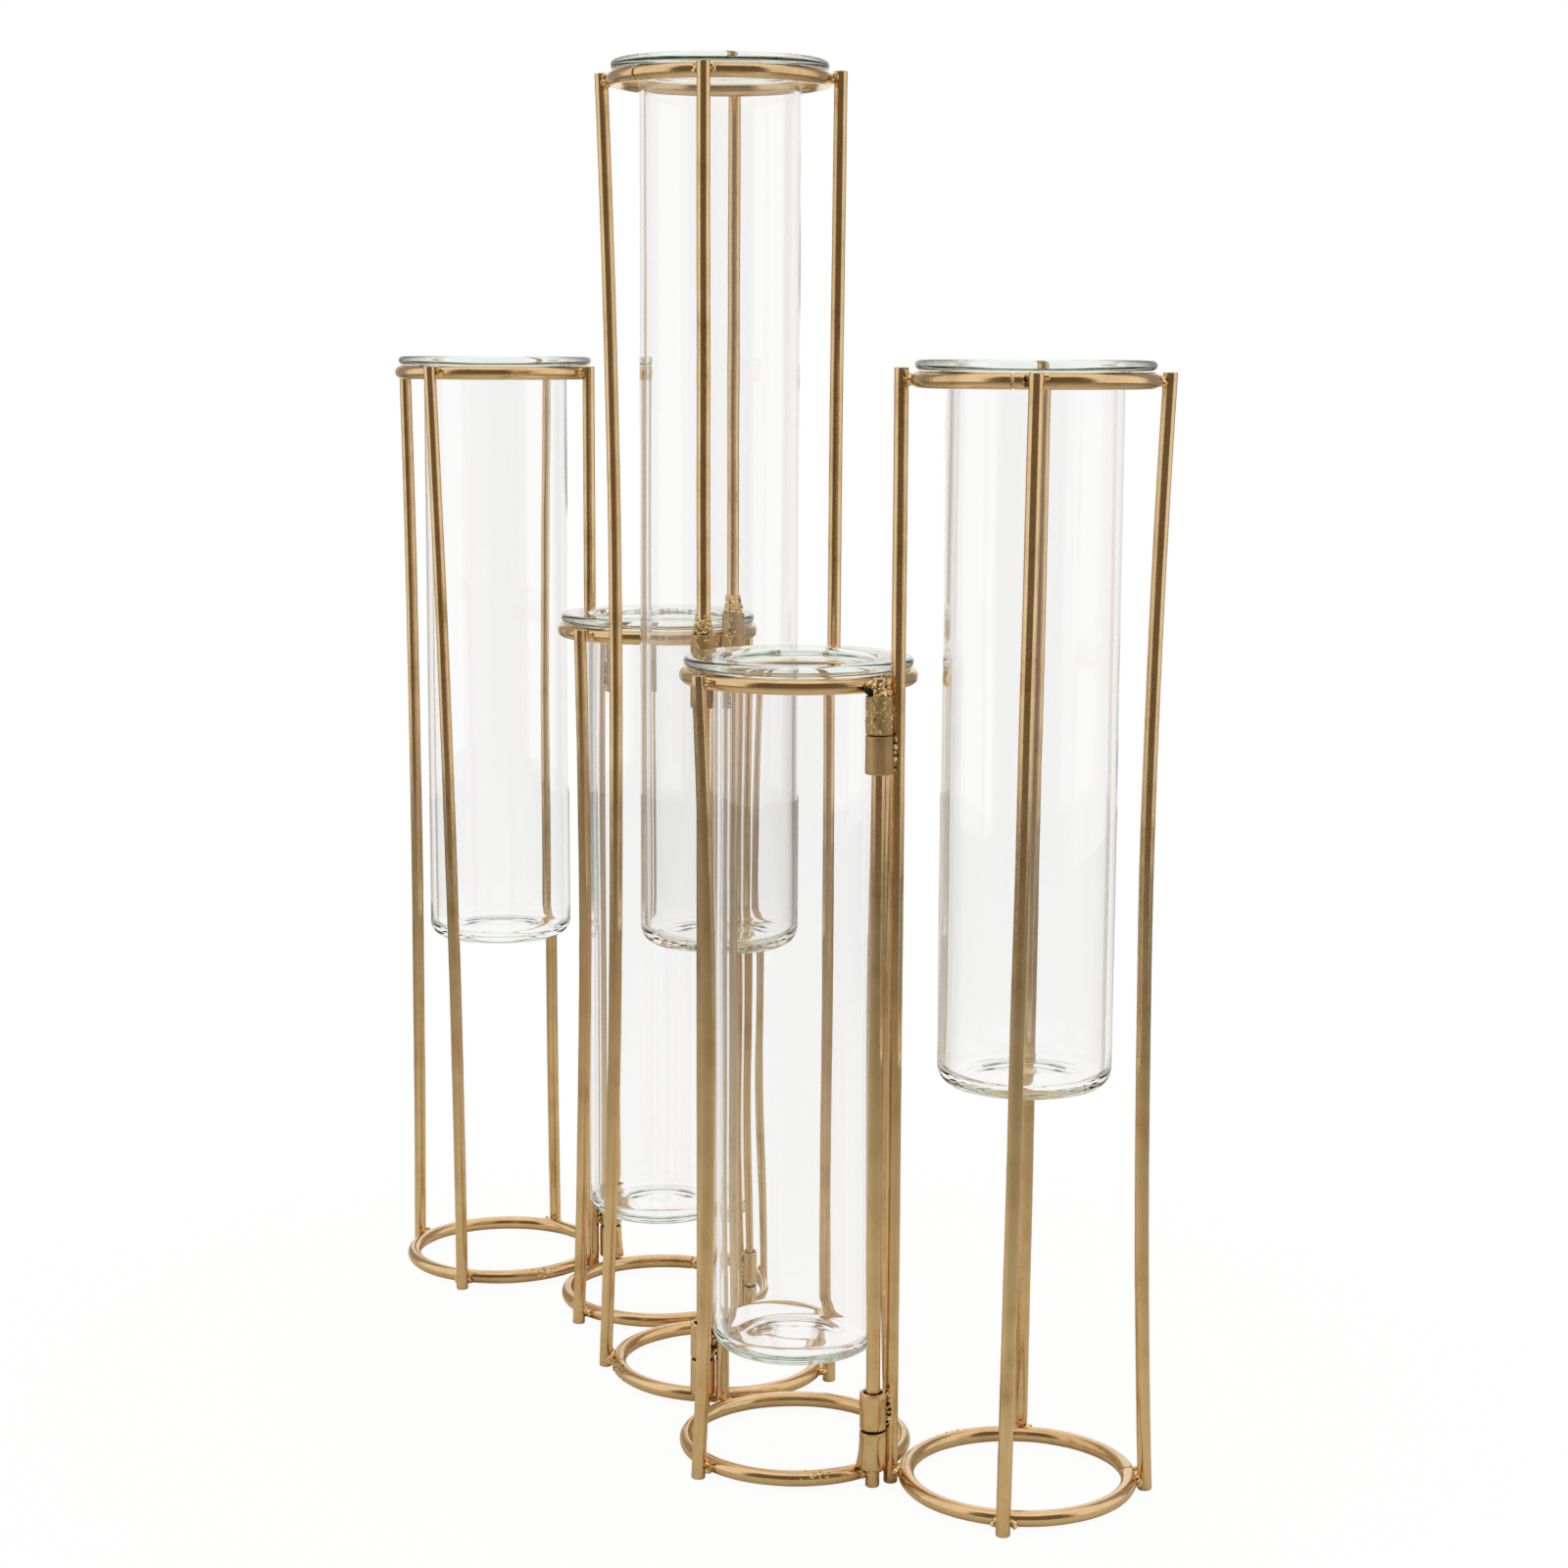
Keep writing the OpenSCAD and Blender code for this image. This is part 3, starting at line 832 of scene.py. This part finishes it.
@dataclass
class Stand:
    """One wire stand with its glass tube, dressed in a shop."""

    shop: Workshop
    name: str
    height: float
    glass_length: float
    free_legs: dict[str, float]
    straight_legs: list[str]
    seams: Pair
    seed: int
    rough_spots: tuple[float, ...] = ()
    ring_middle_r: float = 31.25
    ring_wire_r: float = 2.25
    foot_out: float = 1.0
    seat_gap: float = 0.2
    flange_t: float = 2.9
    bead_r: float = 33.4
    bead_reach: tuple[float, float, float] = (1.4, 2.7, 1.5)
    bead_rough: float = 0.25
    strewn_out: Pair = (0.1, 1.1)
    strewn_across: Pair = (1.7, 3.0)
    strewn_up: Pair = (-0.9, 1.3)
    strewn_reach: Pair = (0.7, 1.25)
    strewn_rough: float = 0.3
    grains: int = 40
    grain_spread: float = 4.5
    grain_lean: Pair = (-25.0, 80.0)
    grain_r: Pair = (0.18, 0.4)
    grain_sunk: float = 0.08
    beads: list[Shell] = field(default_factory=list)

    @property
    def body(self) -> str:
        """Name of the CAD body of the wire stand."""
        return f"{self.name}_stand"

    @property
    def centre(self) -> np.ndarray:
        """Foot of the stand's middle line."""
        return frame_centre(self.name)

    def make_rings(self) -> None:
        """Make the top ring and the base ring."""
        turn = self.leg_turn(self.straight_legs[0])
        levels = {"top_ring": self.height - self.ring_wire_r, "base_ring": self.foot_out + self.ring_wire_r}
        for number, (ring, z) in enumerate(levels.items()):
            wire = WireRing(self.centre + UP * z, turn + self.seams[number], self.seed + number,
                            self.ring_middle_r, self.ring_wire_r)
            node = f"{self.name}_{ring}"
            self.shop.dress(f"{node}_wire", wire.shell(), Finish.GOLD, self.body, node)

    def leg_turn(self, leg: str) -> float:
        """Direction of a leg's foot from the stand's middle, in degrees from X."""
        out = cut_end(f"{self.name}_{leg}", False) - self.centre
        return math.degrees(math.atan2(out[1], out[0]))

    def make_legs(self) -> None:
        """Make the four legs, and lay down the beads that hold them."""
        for number, leg in enumerate(self.straight_legs + list(self.free_legs)):
            node = f"{self.name}_{leg}"
            foot, head = cut_end(node, False), cut_end(node, True)
            inward = level_unit(self.centre * 2 - foot - head)
            wire = WireLeg(foot, head, inward, self.free_legs.get(leg, 0.0), self.seed * 10 + number * 3)
            self.shop.dress(f"{node}_wire", wire.shell(), Finish.GOLD, self.body, node)
            self.lay_beads(wire)

    def lay_beads(self, wire: WireLeg) -> None:
        """Lay a bead where a leg meets each ring, with four smaller ones strewn about it.

        The bead is a lumpy blob in the groove between leg and ring, wider than the leg.

        Args:
            wire: The leg.
        """
        rng = np.random.default_rng(wire.seed)
        for z in (self.height - self.ring_wire_r, self.foot_out + self.ring_wire_r):
            axes = upright_axes(level_unit(wire.centre_line(np.array([z]))[0] - self.centre))
            out, across, _ = axes
            spot = self.centre + UP * z + out * self.bead_r
            seed = wire.seed + int(z)
            self.beads.append(bead(spot, np.array(self.bead_reach), axes, self.bead_rough, seed))
            for k, side in enumerate((-1, -1, 1, 1)):
                shift = out * rng.uniform(*self.strewn_out)
                shift += across * side * rng.uniform(*self.strewn_across)
                shift += UP * rng.uniform(*self.strewn_up)
                reach = rng.uniform(*self.strewn_reach, 3)
                self.beads.append(bead(spot + shift, reach, axes, self.strewn_rough, seed + 7 * k + 1, 9))

    def lay_rough_spots(self) -> None:
        """Strew fine grains over the outside and top of the base ring at each rough spot."""
        z = self.foot_out + self.ring_wire_r
        for turn in self.rough_spots:
            rng = np.random.default_rng(int(turn))
            for k in range(self.grains):
                out = heading(turn + rng.normal(0, self.grain_spread))
                lean = math.radians(rng.uniform(*self.grain_lean))
                face = out * math.cos(lean) + UP * math.sin(lean)
                spot = (self.centre + UP * z + out * self.ring_middle_r
                        + face * (self.ring_wire_r - self.grain_sunk))
                reach = np.full(3, rng.uniform(*self.grain_r))
                self.beads.append(bead(spot, reach, np.eye(3), 0.2, k, 5))

    def make_beads(self) -> None:
        """Make the beads and the grains into one piece."""
        self.lay_rough_spots()
        self.shop.dress(f"{self.name}_ring_beads", Shell.joined(self.beads), Finish.WELD, self.body)

    def make_glass(self) -> None:
        """Hang the glass tube in the top ring."""
        z = self.height + self.seat_gap + self.flange_t - self.glass_length
        tube = GlassTube(self.centre + UP * z, self.glass_length, self.flange_t, self.seed + 40)
        node = f"{self.name}_glass_tube"
        glass = self.shop.glass(self.height + self.seat_gap)
        self.shop.dress(f"{node}_clear", tube.shell(), Finish.GLASS, f"{self.name}_glass", node, glass)

    def make(self) -> None:
        """Make the whole stand."""
        self.make_rings()
        self.make_legs()
        self.make_beads()
        self.make_glass()


@dataclass
class Hinge:
    """A hinge: two collars fixed on a pin leg, and two barrels welded to the leg that swings on it.

    The host has the pin and the collars, and the carried stand has the barrels. A crowned hinge has
    a higher pile of weld metal over its upper collar, and fewer drops on it. The open turn is the
    direction in degrees, seen from the pin, that the swinging leg never reaches.
    """

    shop: Workshop
    host: str
    carried: str
    collars: tuple[str, str]
    barrels: tuple[str, str]
    seed: int
    crowned: bool
    open_turn: float
    crown_pile: Pile = (5.6, 2.3, 44)
    plain_pile: Pile = (4.2, 1.9, 36)
    foot_pile: Pile = (0.5, 2.3, 12)
    crown_drops: int = 30
    plain_drops: int = 90
    streak_turn: float = -59.0
    streak_heights: Pair = (0.8, 9.6)
    streak_sway: float = 9.0
    tube_length: float = 10.5
    barrel_r: float = 3.8
    flare: float = 1.1
    drop_sunk: float = 0.06
    streak_drops: int = 22
    soot_lumps: int = 6
    shade_ring_t: float = 0.16
    shade_ring_sides: int = 36
    # depth below the lower barrel's mouth of a ring of painted shade inside the bore
    shade_ring_sunk: float = 1.1
    # radii of a ring of painted shade in the gap between the lower collar and the barrel
    collar_gap_shade: Pair = (2.2, 3.4)
    # radii of the ring of painted shade inside the lower barrel's mouth
    mouth_painted_shade: Pair = (2.3, 2.85)
    groove_r: float = 4.1
    groove_lumps: int = 16
    groove_margin: float = 1.2
    groove_out: Pair = (-0.3, 0.4)
    groove_across: Pair = (0.9, 1.5)
    groove_reach: Pair = (0.5, 0.85)

    def middle(self, node: str) -> np.ndarray:
        """Find the pin's axis at a collar or barrel.

        Args:
            node: The collar's or barrel's CAD node.

        Returns:
            The point of the axis at the node's foot.
        """
        joint = next(j for j in frame["joints"] if j["child"] == f"{self.carried}_stand")
        x, y = (length / MM for length in joint["pos_m"][:2])
        return np.array([x, y, cad_points(node)[:, 2].min()])

    def carried_leg(self) -> np.ndarray:
        """Foot of the leg that hangs on this hinge."""
        return cut_end(f"{self.carried}_hinge_leg", False)

    def dress(self, kind: str, shells: list[Shell], finish: Finish, owner: str) -> None:
        """Make shells into one piece of the hinge that rides on the owner's stand."""
        self.shop.dress(f"{self.host}_{self.carried}_{kind}", Shell.joined(shells), finish, f"{owner}_stand")

    def make_tubes(self) -> None:
        """Make the four tubes: the upper collar spattered, the upper barrel satin, the others glossy."""
        finishes = (Finish.SPATTERED, Finish.GOLD, Finish.SATIN, Finish.GOLD)
        for number, (node, finish) in enumerate(zip(self.collars + self.barrels, finishes)):
            owner = self.host if node in self.collars else self.carried
            flare = self.flare if node == self.collars[1] else 0.0
            tube = HingeTube(self.middle(node), self.tube_length, self.barrel_r, flare, self.open_turn,
                             self.seed + number)
            self.shop.dress(f"{node}_tube", tube.shell(), finish, f"{owner}_stand", node)

    def drops(self, foot: np.ndarray, turns: np.ndarray, heights: np.ndarray, radius: float,
              seed: int) -> list[Shell]:
        """Set flat drops of weld metal on an upright cylinder.

        Drop k is a lens at foot + (radius cos t, radius sin t, z) that lies along the surface.

        Args:
            foot: Foot of the cylinder's axis.
            turns: Direction of each drop from the axis, in degrees.
            heights: Height of each drop over the foot.
            radius: The cylinder's radius.
            seed: Seed of the sizes.

        Returns:
            The drops.
        """
        rng = np.random.default_rng(seed)
        shells = []
        for k, (turn, z) in enumerate(zip(turns, heights)):
            out = heading(turn)
            size = rng.uniform(0.16, 0.5)
            reach = np.array([0.1 + 0.25 * size, size, size * rng.uniform(0.7, 1.4)])
            spot = foot + out * (radius - self.drop_sunk) + UP * z
            shells.append(bead(spot, reach, upright_axes(out), 0.2, seed + k, 6))
        return shells

    def pile(self, foot: np.ndarray, height: float, radius: float, count: int, seed: int) -> list[Shell]:
        """Pile lumps of weld metal round the pin, thinner towards the top.

        Lump k stands at the turn 137.5 k degrees and the height s * height, where s runs from 0
        to 1, at the distance radius * (1 - 0.25 s) from the axis.

        Args:
            foot: Foot of the pile on the pin's axis.
            height: Height of the pile.
            radius: Distance of the lowest lumps from the axis.
            count: Number of lumps.
            seed: Seed of their sizes.

        Returns:
            The lumps.
        """
        rng = np.random.default_rng(seed)
        shells = []
        for k in range(count):
            s = k / (count - 1)
            out = heading(GOLDEN_TURN * k + rng.uniform(-20, 20))
            reach = rng.uniform(0.65, 1.2, 3) * (1 - 0.3 * s)
            spot = foot + out * radius * (1 - 0.25 * s) + UP * height * s
            shells.append(bead(spot, reach, upright_axes(out), 0.35, seed + k, 10))
        return shells

    def make_collar_welds(self) -> None:
        """Weld each collar to its pin.

        The upper collar carries a pile of lumps at its mouth and drops over its face, the most of
        them in a winding streak on one side. The lower one is sealed to the pin at its foot.
        """
        rng = np.random.default_rng(self.seed)
        upper, lower = (self.middle(node) for node in self.collars)
        pile = self.crown_pile if self.crowned else self.plain_pile
        shells = self.pile(upper + UP * (self.tube_length - 0.1), *pile, self.seed * 7)
        count = self.crown_drops if self.crowned else self.plain_drops
        turns, heights = rng.uniform(0, 360, count), rng.uniform(0.5, 10, count)
        shells += self.drops(upper, turns, heights, self.barrel_r, self.seed * 31)
        heights = np.linspace(*self.streak_heights, self.streak_drops)
        streak = self.streak_turn + self.streak_sway * np.sin(heights * 1.3)
        streak = streak + rng.uniform(-5, 5, self.streak_drops)
        shells += self.drops(upper, streak, heights, self.barrel_r + 0.04, self.seed * 37)
        shells += self.pile(lower - UP * 0.25, *self.foot_pile, self.seed * 3)
        self.dress("collar_welds", shells, Finish.WELD, self.host)

    def shade_ring(self, foot: np.ndarray, inner: float, outer: float) -> Shell:
        """Turn a thin flat ring of painted shade round the pin, between two radii, with its underside at
        foot.
        """
        section = [(inner, 0.0), (outer, 0.0), (outer, self.shade_ring_t), (inner, self.shade_ring_t)]
        return revolved(np.array(section), foot, self.shade_ring_sides, Joining.LOOPED)

    def make_scorch_and_shade(self) -> None:
        """Blacken the places where the weld has burnt, and paint shade into two of the hinge's hollows.

        On the host a ring of painted shade lies on the lower collar's upper end, in the gap between it
        and the barrel, and on a short stand burnt lumps fill the corner between the upper collar's
        mouth, its pin and the ring, where they run along the ring on the open side. On the carried
        stand a ring of painted shade lies inside the lower barrel's mouth, where the bore is in shadow.
        """
        upper, lower = (self.middle(node) + UP * self.tube_length for node in self.collars)
        # painted shade: a dark ring in the gap between the lower collar and the barrel
        shells = [self.shade_ring(lower + UP * 0.02, *self.collar_gap_shade)]
        if not self.crowned:
            axes = upright_axes(level_unit(upper - frame_centre(self.host)))
            axes[1] *= math.copysign(1.0, float(axes[1] @ heading(self.open_turn)))
            out, along_ring, _ = axes
            for k in range(self.soot_lumps):
                spot = upper - out * (1.6 - 0.2 * k) + along_ring * (1.5 + 0.5 * k) + UP * (0.7 + 0.2 * k)
                shells.append(bead(spot, np.array([1.1, 0.9, 1.2 - 0.15 * k]), axes, 0.35, self.seed + k))
        self.dress("scorch_and_shade", shells, Finish.SCORCH_AND_SHADE, self.host)
        # painted shade: a dark ring inside the lower barrel's mouth, where the bore is in shadow
        mouth = self.middle(self.barrels[1]) + UP * (self.tube_length - self.shade_ring_sunk)
        self.dress("mouth_painted_shade", [self.shade_ring(mouth, *self.mouth_painted_shade)], Finish.SCORCH_AND_SHADE, self.carried)

    def make_barrel_welds(self) -> None:
        """Run a rough chain of lumps down both grooves between barrel and leg, every third one burnt."""
        shells = {Finish.WELD: [], Finish.SCORCH_AND_SHADE: []}
        rng = np.random.default_rng(self.seed * 50)
        leg = self.carried_leg()
        step = (self.tube_length - 2 * self.groove_margin) / (self.groove_lumps - 1)
        for number, node in enumerate(self.barrels):
            foot = self.middle(node)
            axes = upright_axes(level_unit(leg - foot))
            out, across, _ = axes
            for side in (-1, 1):
                for k in range(self.groove_lumps):
                    spot = (foot + out * (self.groove_r + rng.uniform(*self.groove_out))
                            + across * side * rng.uniform(*self.groove_across)
                            + UP * (self.groove_margin + k * step))
                    reach = rng.uniform(*self.groove_reach, 3)
                    seed = self.seed * 50 + number * 40 + side * 18 + k
                    finish = Finish.SCORCH_AND_SHADE if k % 3 == 1 else Finish.WELD
                    shells[finish].append(bead(spot, reach, axes, 0.35, seed, 9))
        for finish, kind in ((Finish.WELD, "barrel_welds"), (Finish.SCORCH_AND_SHADE, "barrel_scorch")):
            self.dress(kind, shells[finish], finish, self.carried)

    def make(self) -> None:
        """Make the whole hinge."""
        self.make_tubes()
        self.make_collar_welds()
        self.make_barrel_welds()
        self.make_scorch_and_shade()


@dataclass(frozen=True)
class Studio:
    """White floor and surround, soft light, and the camera of the photograph."""

    camera_at: tuple = (696.97, -529.94, 314.95)
    bearing: float = 51.336
    pitch_down: float = 8.463
    roll: float = 0.253
    lens: float = 66.44
    sensor: float = 36.0
    floor_r: float = 1200.0
    floor_sides: int = 64
    shadow: float = 0.06
    bounces: int = 32
    dark_front: tuple = (0.15, 0.115, 0.075)
    soft_box: tuple = (0.93, 0.92, 0.89)
    dim_back: tuple = (0.34, 0.32, 0.29)
    far_wall: tuple = (1.0, 1.0, 1.0)
    ceiling: tuple = (1.02, 1.0, 0.95)

    def unmirrored(self, nodes: Nodes) -> Socket:
        """One for what the eye sees straight or through glass, nought for what metal has mirrored.

        A path that ends by leaving glass counts as seen too, after few crossings or many reflections:
        it was mirrored inside the glass alone.

        Args:
            nodes: The tree that needs it.

        Returns:
            The output with the one or nought.
        """
        path = nodes.add("ShaderNodeLightPath")
        straight = nodes.math("LESS_THAN", path.outputs["Glossy Depth"], 0.5)
        few = nodes.math("LESS_THAN", path.outputs["Transmission Depth"], 3.5)
        many = nodes.math("GREATER_THAN", path.outputs["Glossy Depth"], 1.5)
        leaving = path.outputs["Is Transmission Ray"]
        inside = nodes.math("MULTIPLY", nodes.math("MAXIMUM", few, many), leaving)
        return nodes.math("MAXIMUM", straight, inside)

    def make_floor(self) -> None:
        """Lay the floor.

        To the eye it is white, with a faint share of the matt floor near the row that takes its shadow.
        To the rest it is matt and faintly warm, with a painted pool of light: white near the row and
        darker outwards.
        """
        turns = np.arange(self.floor_sides) * 2 * math.pi / self.floor_sides
        points = np.stack([np.cos(turns), np.sin(turns), 0 * turns], -1) * self.floor_r * MM
        mesh = bpy.data.meshes.new("floor")
        mesh.from_pydata(points.tolist(), [], [list(range(self.floor_sides))])
        floor = bpy.data.objects.new("floor", mesh)
        bpy.context.scene.collection.objects.link(floor)
        material, nodes = new_material("white_floor")
        place = nodes.add("ShaderNodeTexCoord").outputs["Object"]
        reach = nodes.add("ShaderNodeVectorMath", place, operation="LENGTH").outputs["Value"]
        share = nodes.math("DIVIDE", reach, self.floor_r * MM)
        near = nodes.mapped(share, (0.08, 0.3), (1 - self.shadow, 1.0), interpolation_type="SMOOTHSTEP")
        seen = nodes.math("MULTIPLY", self.unmirrored(nodes), near)
        # painted pool of light for reflections: the levels fall from white near the row to dark at the edge
        pool_light_levels = [(level, level, level * 0.87) for level in (1.0, 0.68, 0.38, 0.18)]
        painted_light_pool = nodes.ramp(share, list(zip((0.13, 0.27, 0.58, 1.0), pool_light_levels)))
        matt = nodes.add("ShaderNodeBsdfDiffuse", painted_light_pool)
        white = nodes.add("ShaderNodeEmission", (1.0, 1.0, 1.0, 1.0), 1.0)
        mix = nodes.add("ShaderNodeMixShader", seen, matt.outputs[0], white.outputs[0])
        nodes.add("ShaderNodeOutputMaterial", mix.outputs[0])
        mesh.materials.append(material)

    def make_surround(self) -> None:
        """Light the world: white to the eye and through glass, and a studio in reflections.

        Round the horizon the studio is a dark front where the camera stands, a soft box on each
        side of it and a dim back with a white wall in its middle, laid out on the cosine of the
        angle from the camera's side. Overhead is a pale ceiling.
        """
        world = bpy.data.worlds.new("studio")
        bpy.context.scene.world = world
        world.use_nodes = True
        nodes = Nodes(world.node_tree)
        place = nodes.add("ShaderNodeTexCoord").outputs["Generated"]
        x, y, z = nodes.add("ShaderNodeSeparateXYZ", place).outputs
        front = heading(self.bearing - 90)
        facing = nodes.math("ADD", nodes.math("MULTIPLY", x, float(front[0])),
                            nodes.math("MULTIPLY", y, float(front[1])))
        squares = nodes.math("ADD", nodes.math("MULTIPLY", x, x), nodes.math("MULTIPLY", y, y))
        level = nodes.math("SQRT", squares)
        cosine = nodes.math("DIVIDE", facing, nodes.math("MAXIMUM", level, 0.001))
        share = nodes.math("ADD", nodes.math("MULTIPLY", cosine, 0.5), 0.5)
        walls = nodes.ramp(share, [
            (0.02, self.far_wall), (0.05, self.dim_back), (0.24, self.dim_back),
            (0.31, self.soft_box), (0.79, self.soft_box), (0.84, self.dark_front),
        ])
        overhead = nodes.mapped(z, (0.76, 0.87), interpolation_type="SMOOTHSTEP")
        studio = nodes.add("ShaderNodeMix", overhead, data_type="RGBA")
        nodes.feed(studio.inputs[6], walls)
        nodes.feed(studio.inputs[7], (*self.ceiling, 1.0))
        mirrored = nodes.add("ShaderNodeBackground", studio.outputs[2])
        plain = nodes.add("ShaderNodeBackground", (1.0, 1.0, 1.0, 1.0), 1.0)
        mix = nodes.add("ShaderNodeMixShader", self.unmirrored(nodes), mirrored.outputs[0], plain.outputs[0])
        nodes.add("ShaderNodeOutputWorld", mix.outputs[0])

    def make_camera(self) -> None:
        """Set the camera at the photograph's place, turned down, to the row and by its small roll."""
        data = bpy.data.cameras.new("photo_camera")
        data.lens = self.lens
        data.sensor_width = self.sensor
        data.sensor_fit = "HORIZONTAL"
        data.clip_start = 0.01
        data.clip_end = 20.0
        camera = bpy.data.objects.new("photo_camera", data)
        bpy.context.scene.collection.objects.link(camera)
        turn = (Matrix.Rotation(math.radians(self.bearing), 4, "Z")
                @ Matrix.Rotation(math.radians(90 - self.pitch_down), 4, "X")
                @ Matrix.Rotation(math.radians(self.roll), 4, "Z"))
        camera.matrix_world = Matrix.Translation(Vector(self.camera_at) * MM) @ turn
        bpy.context.scene.camera = camera

    def make(self) -> None:
        """Make floor, surround and camera, let light run far in the glass, and keep colours as written."""
        self.make_floor()
        self.make_surround()
        self.make_camera()
        paths = bpy.context.scene.cycles
        paths.max_bounces = paths.glossy_bounces = paths.transmission_bounces = self.bounces
        bpy.context.scene.view_settings.view_transform = "Standard"


def stands(shop: Workshop) -> list[Stand]:
    """Lay out the five stands, from the tall one outwards.

    Args:
        shop: Where they are dressed.

    Returns:
        Each stand with its height, its glass, the bow of each free leg and the turns of its seams.
    """
    return [
        Stand(shop, "tall", 396.5, 262.5, {"front_leg": 4.0, "back_leg": 0.6},
              ["right_pin_leg", "left_pin_leg"], (319.0, 288.0), 11, (251.0,)),
        Stand(shop, "right_short", 228.5, 199.5, {"front_leg": 3.5, "back_leg": 2.6},
              ["hinge_leg", "pin_leg"], (60.0, 88.6), 23, (334.0,)),
        Stand(shop, "right_mid", 310.5, 197.0, {"front_leg": 2.5, "outer_leg": 3.4, "back_leg": 2.6},
              ["hinge_leg"], (78.8, 185.0), 37, (171.7,)),
        Stand(shop, "left_short", 228.5, 199.5, {"front_leg": 2.4, "back_leg": 2.6},
              ["hinge_leg", "pin_leg"], (230.0, 130.0), 53),
        Stand(shop, "left_mid", 310.5, 197.0, {"front_leg": 2.6, "outer_leg": 1.5, "back_leg": 2.6},
              ["hinge_leg"], (225.0, 60.0), 71, (354.0,)),
    ]


def hinges(shop: Workshop) -> list[Hinge]:
    """Lay out the four hinges.

    Args:
        shop: Where they are dressed.

    Returns:
        Each hinge with the stand that has the pin, the one that swings, and its open turn.
    """

    def tubes(owner: str, kind: str) -> tuple[str, str]:
        """Names of the upper and the lower tube of one kind."""
        return f"{owner}_upper_{kind}", f"{owner}_lower_{kind}"

    plan = [
        ("tall", "right_short", "tall_right", 3, True, 164.6),
        ("right_short", "right_mid", "right_short", 5, False, 207.9),
        ("tall", "left_short", "tall_left", 8, True, -15.2),
        ("left_short", "left_mid", "left_short", 13, False, 22.5),
    ]
    return [Hinge(shop, host, carried, tubes(pin, "collar"), tubes(carried, "barrel"), *rest)
            for host, carried, pin, *rest in plan]


def main() -> None:
    """Build the stands, the hinges and the studio."""
    shop = Workshop()
    for assembly in stands(shop) + hinges(shop):
        assembly.make()
    Studio().make()


if __name__ == "__main__":
    main()
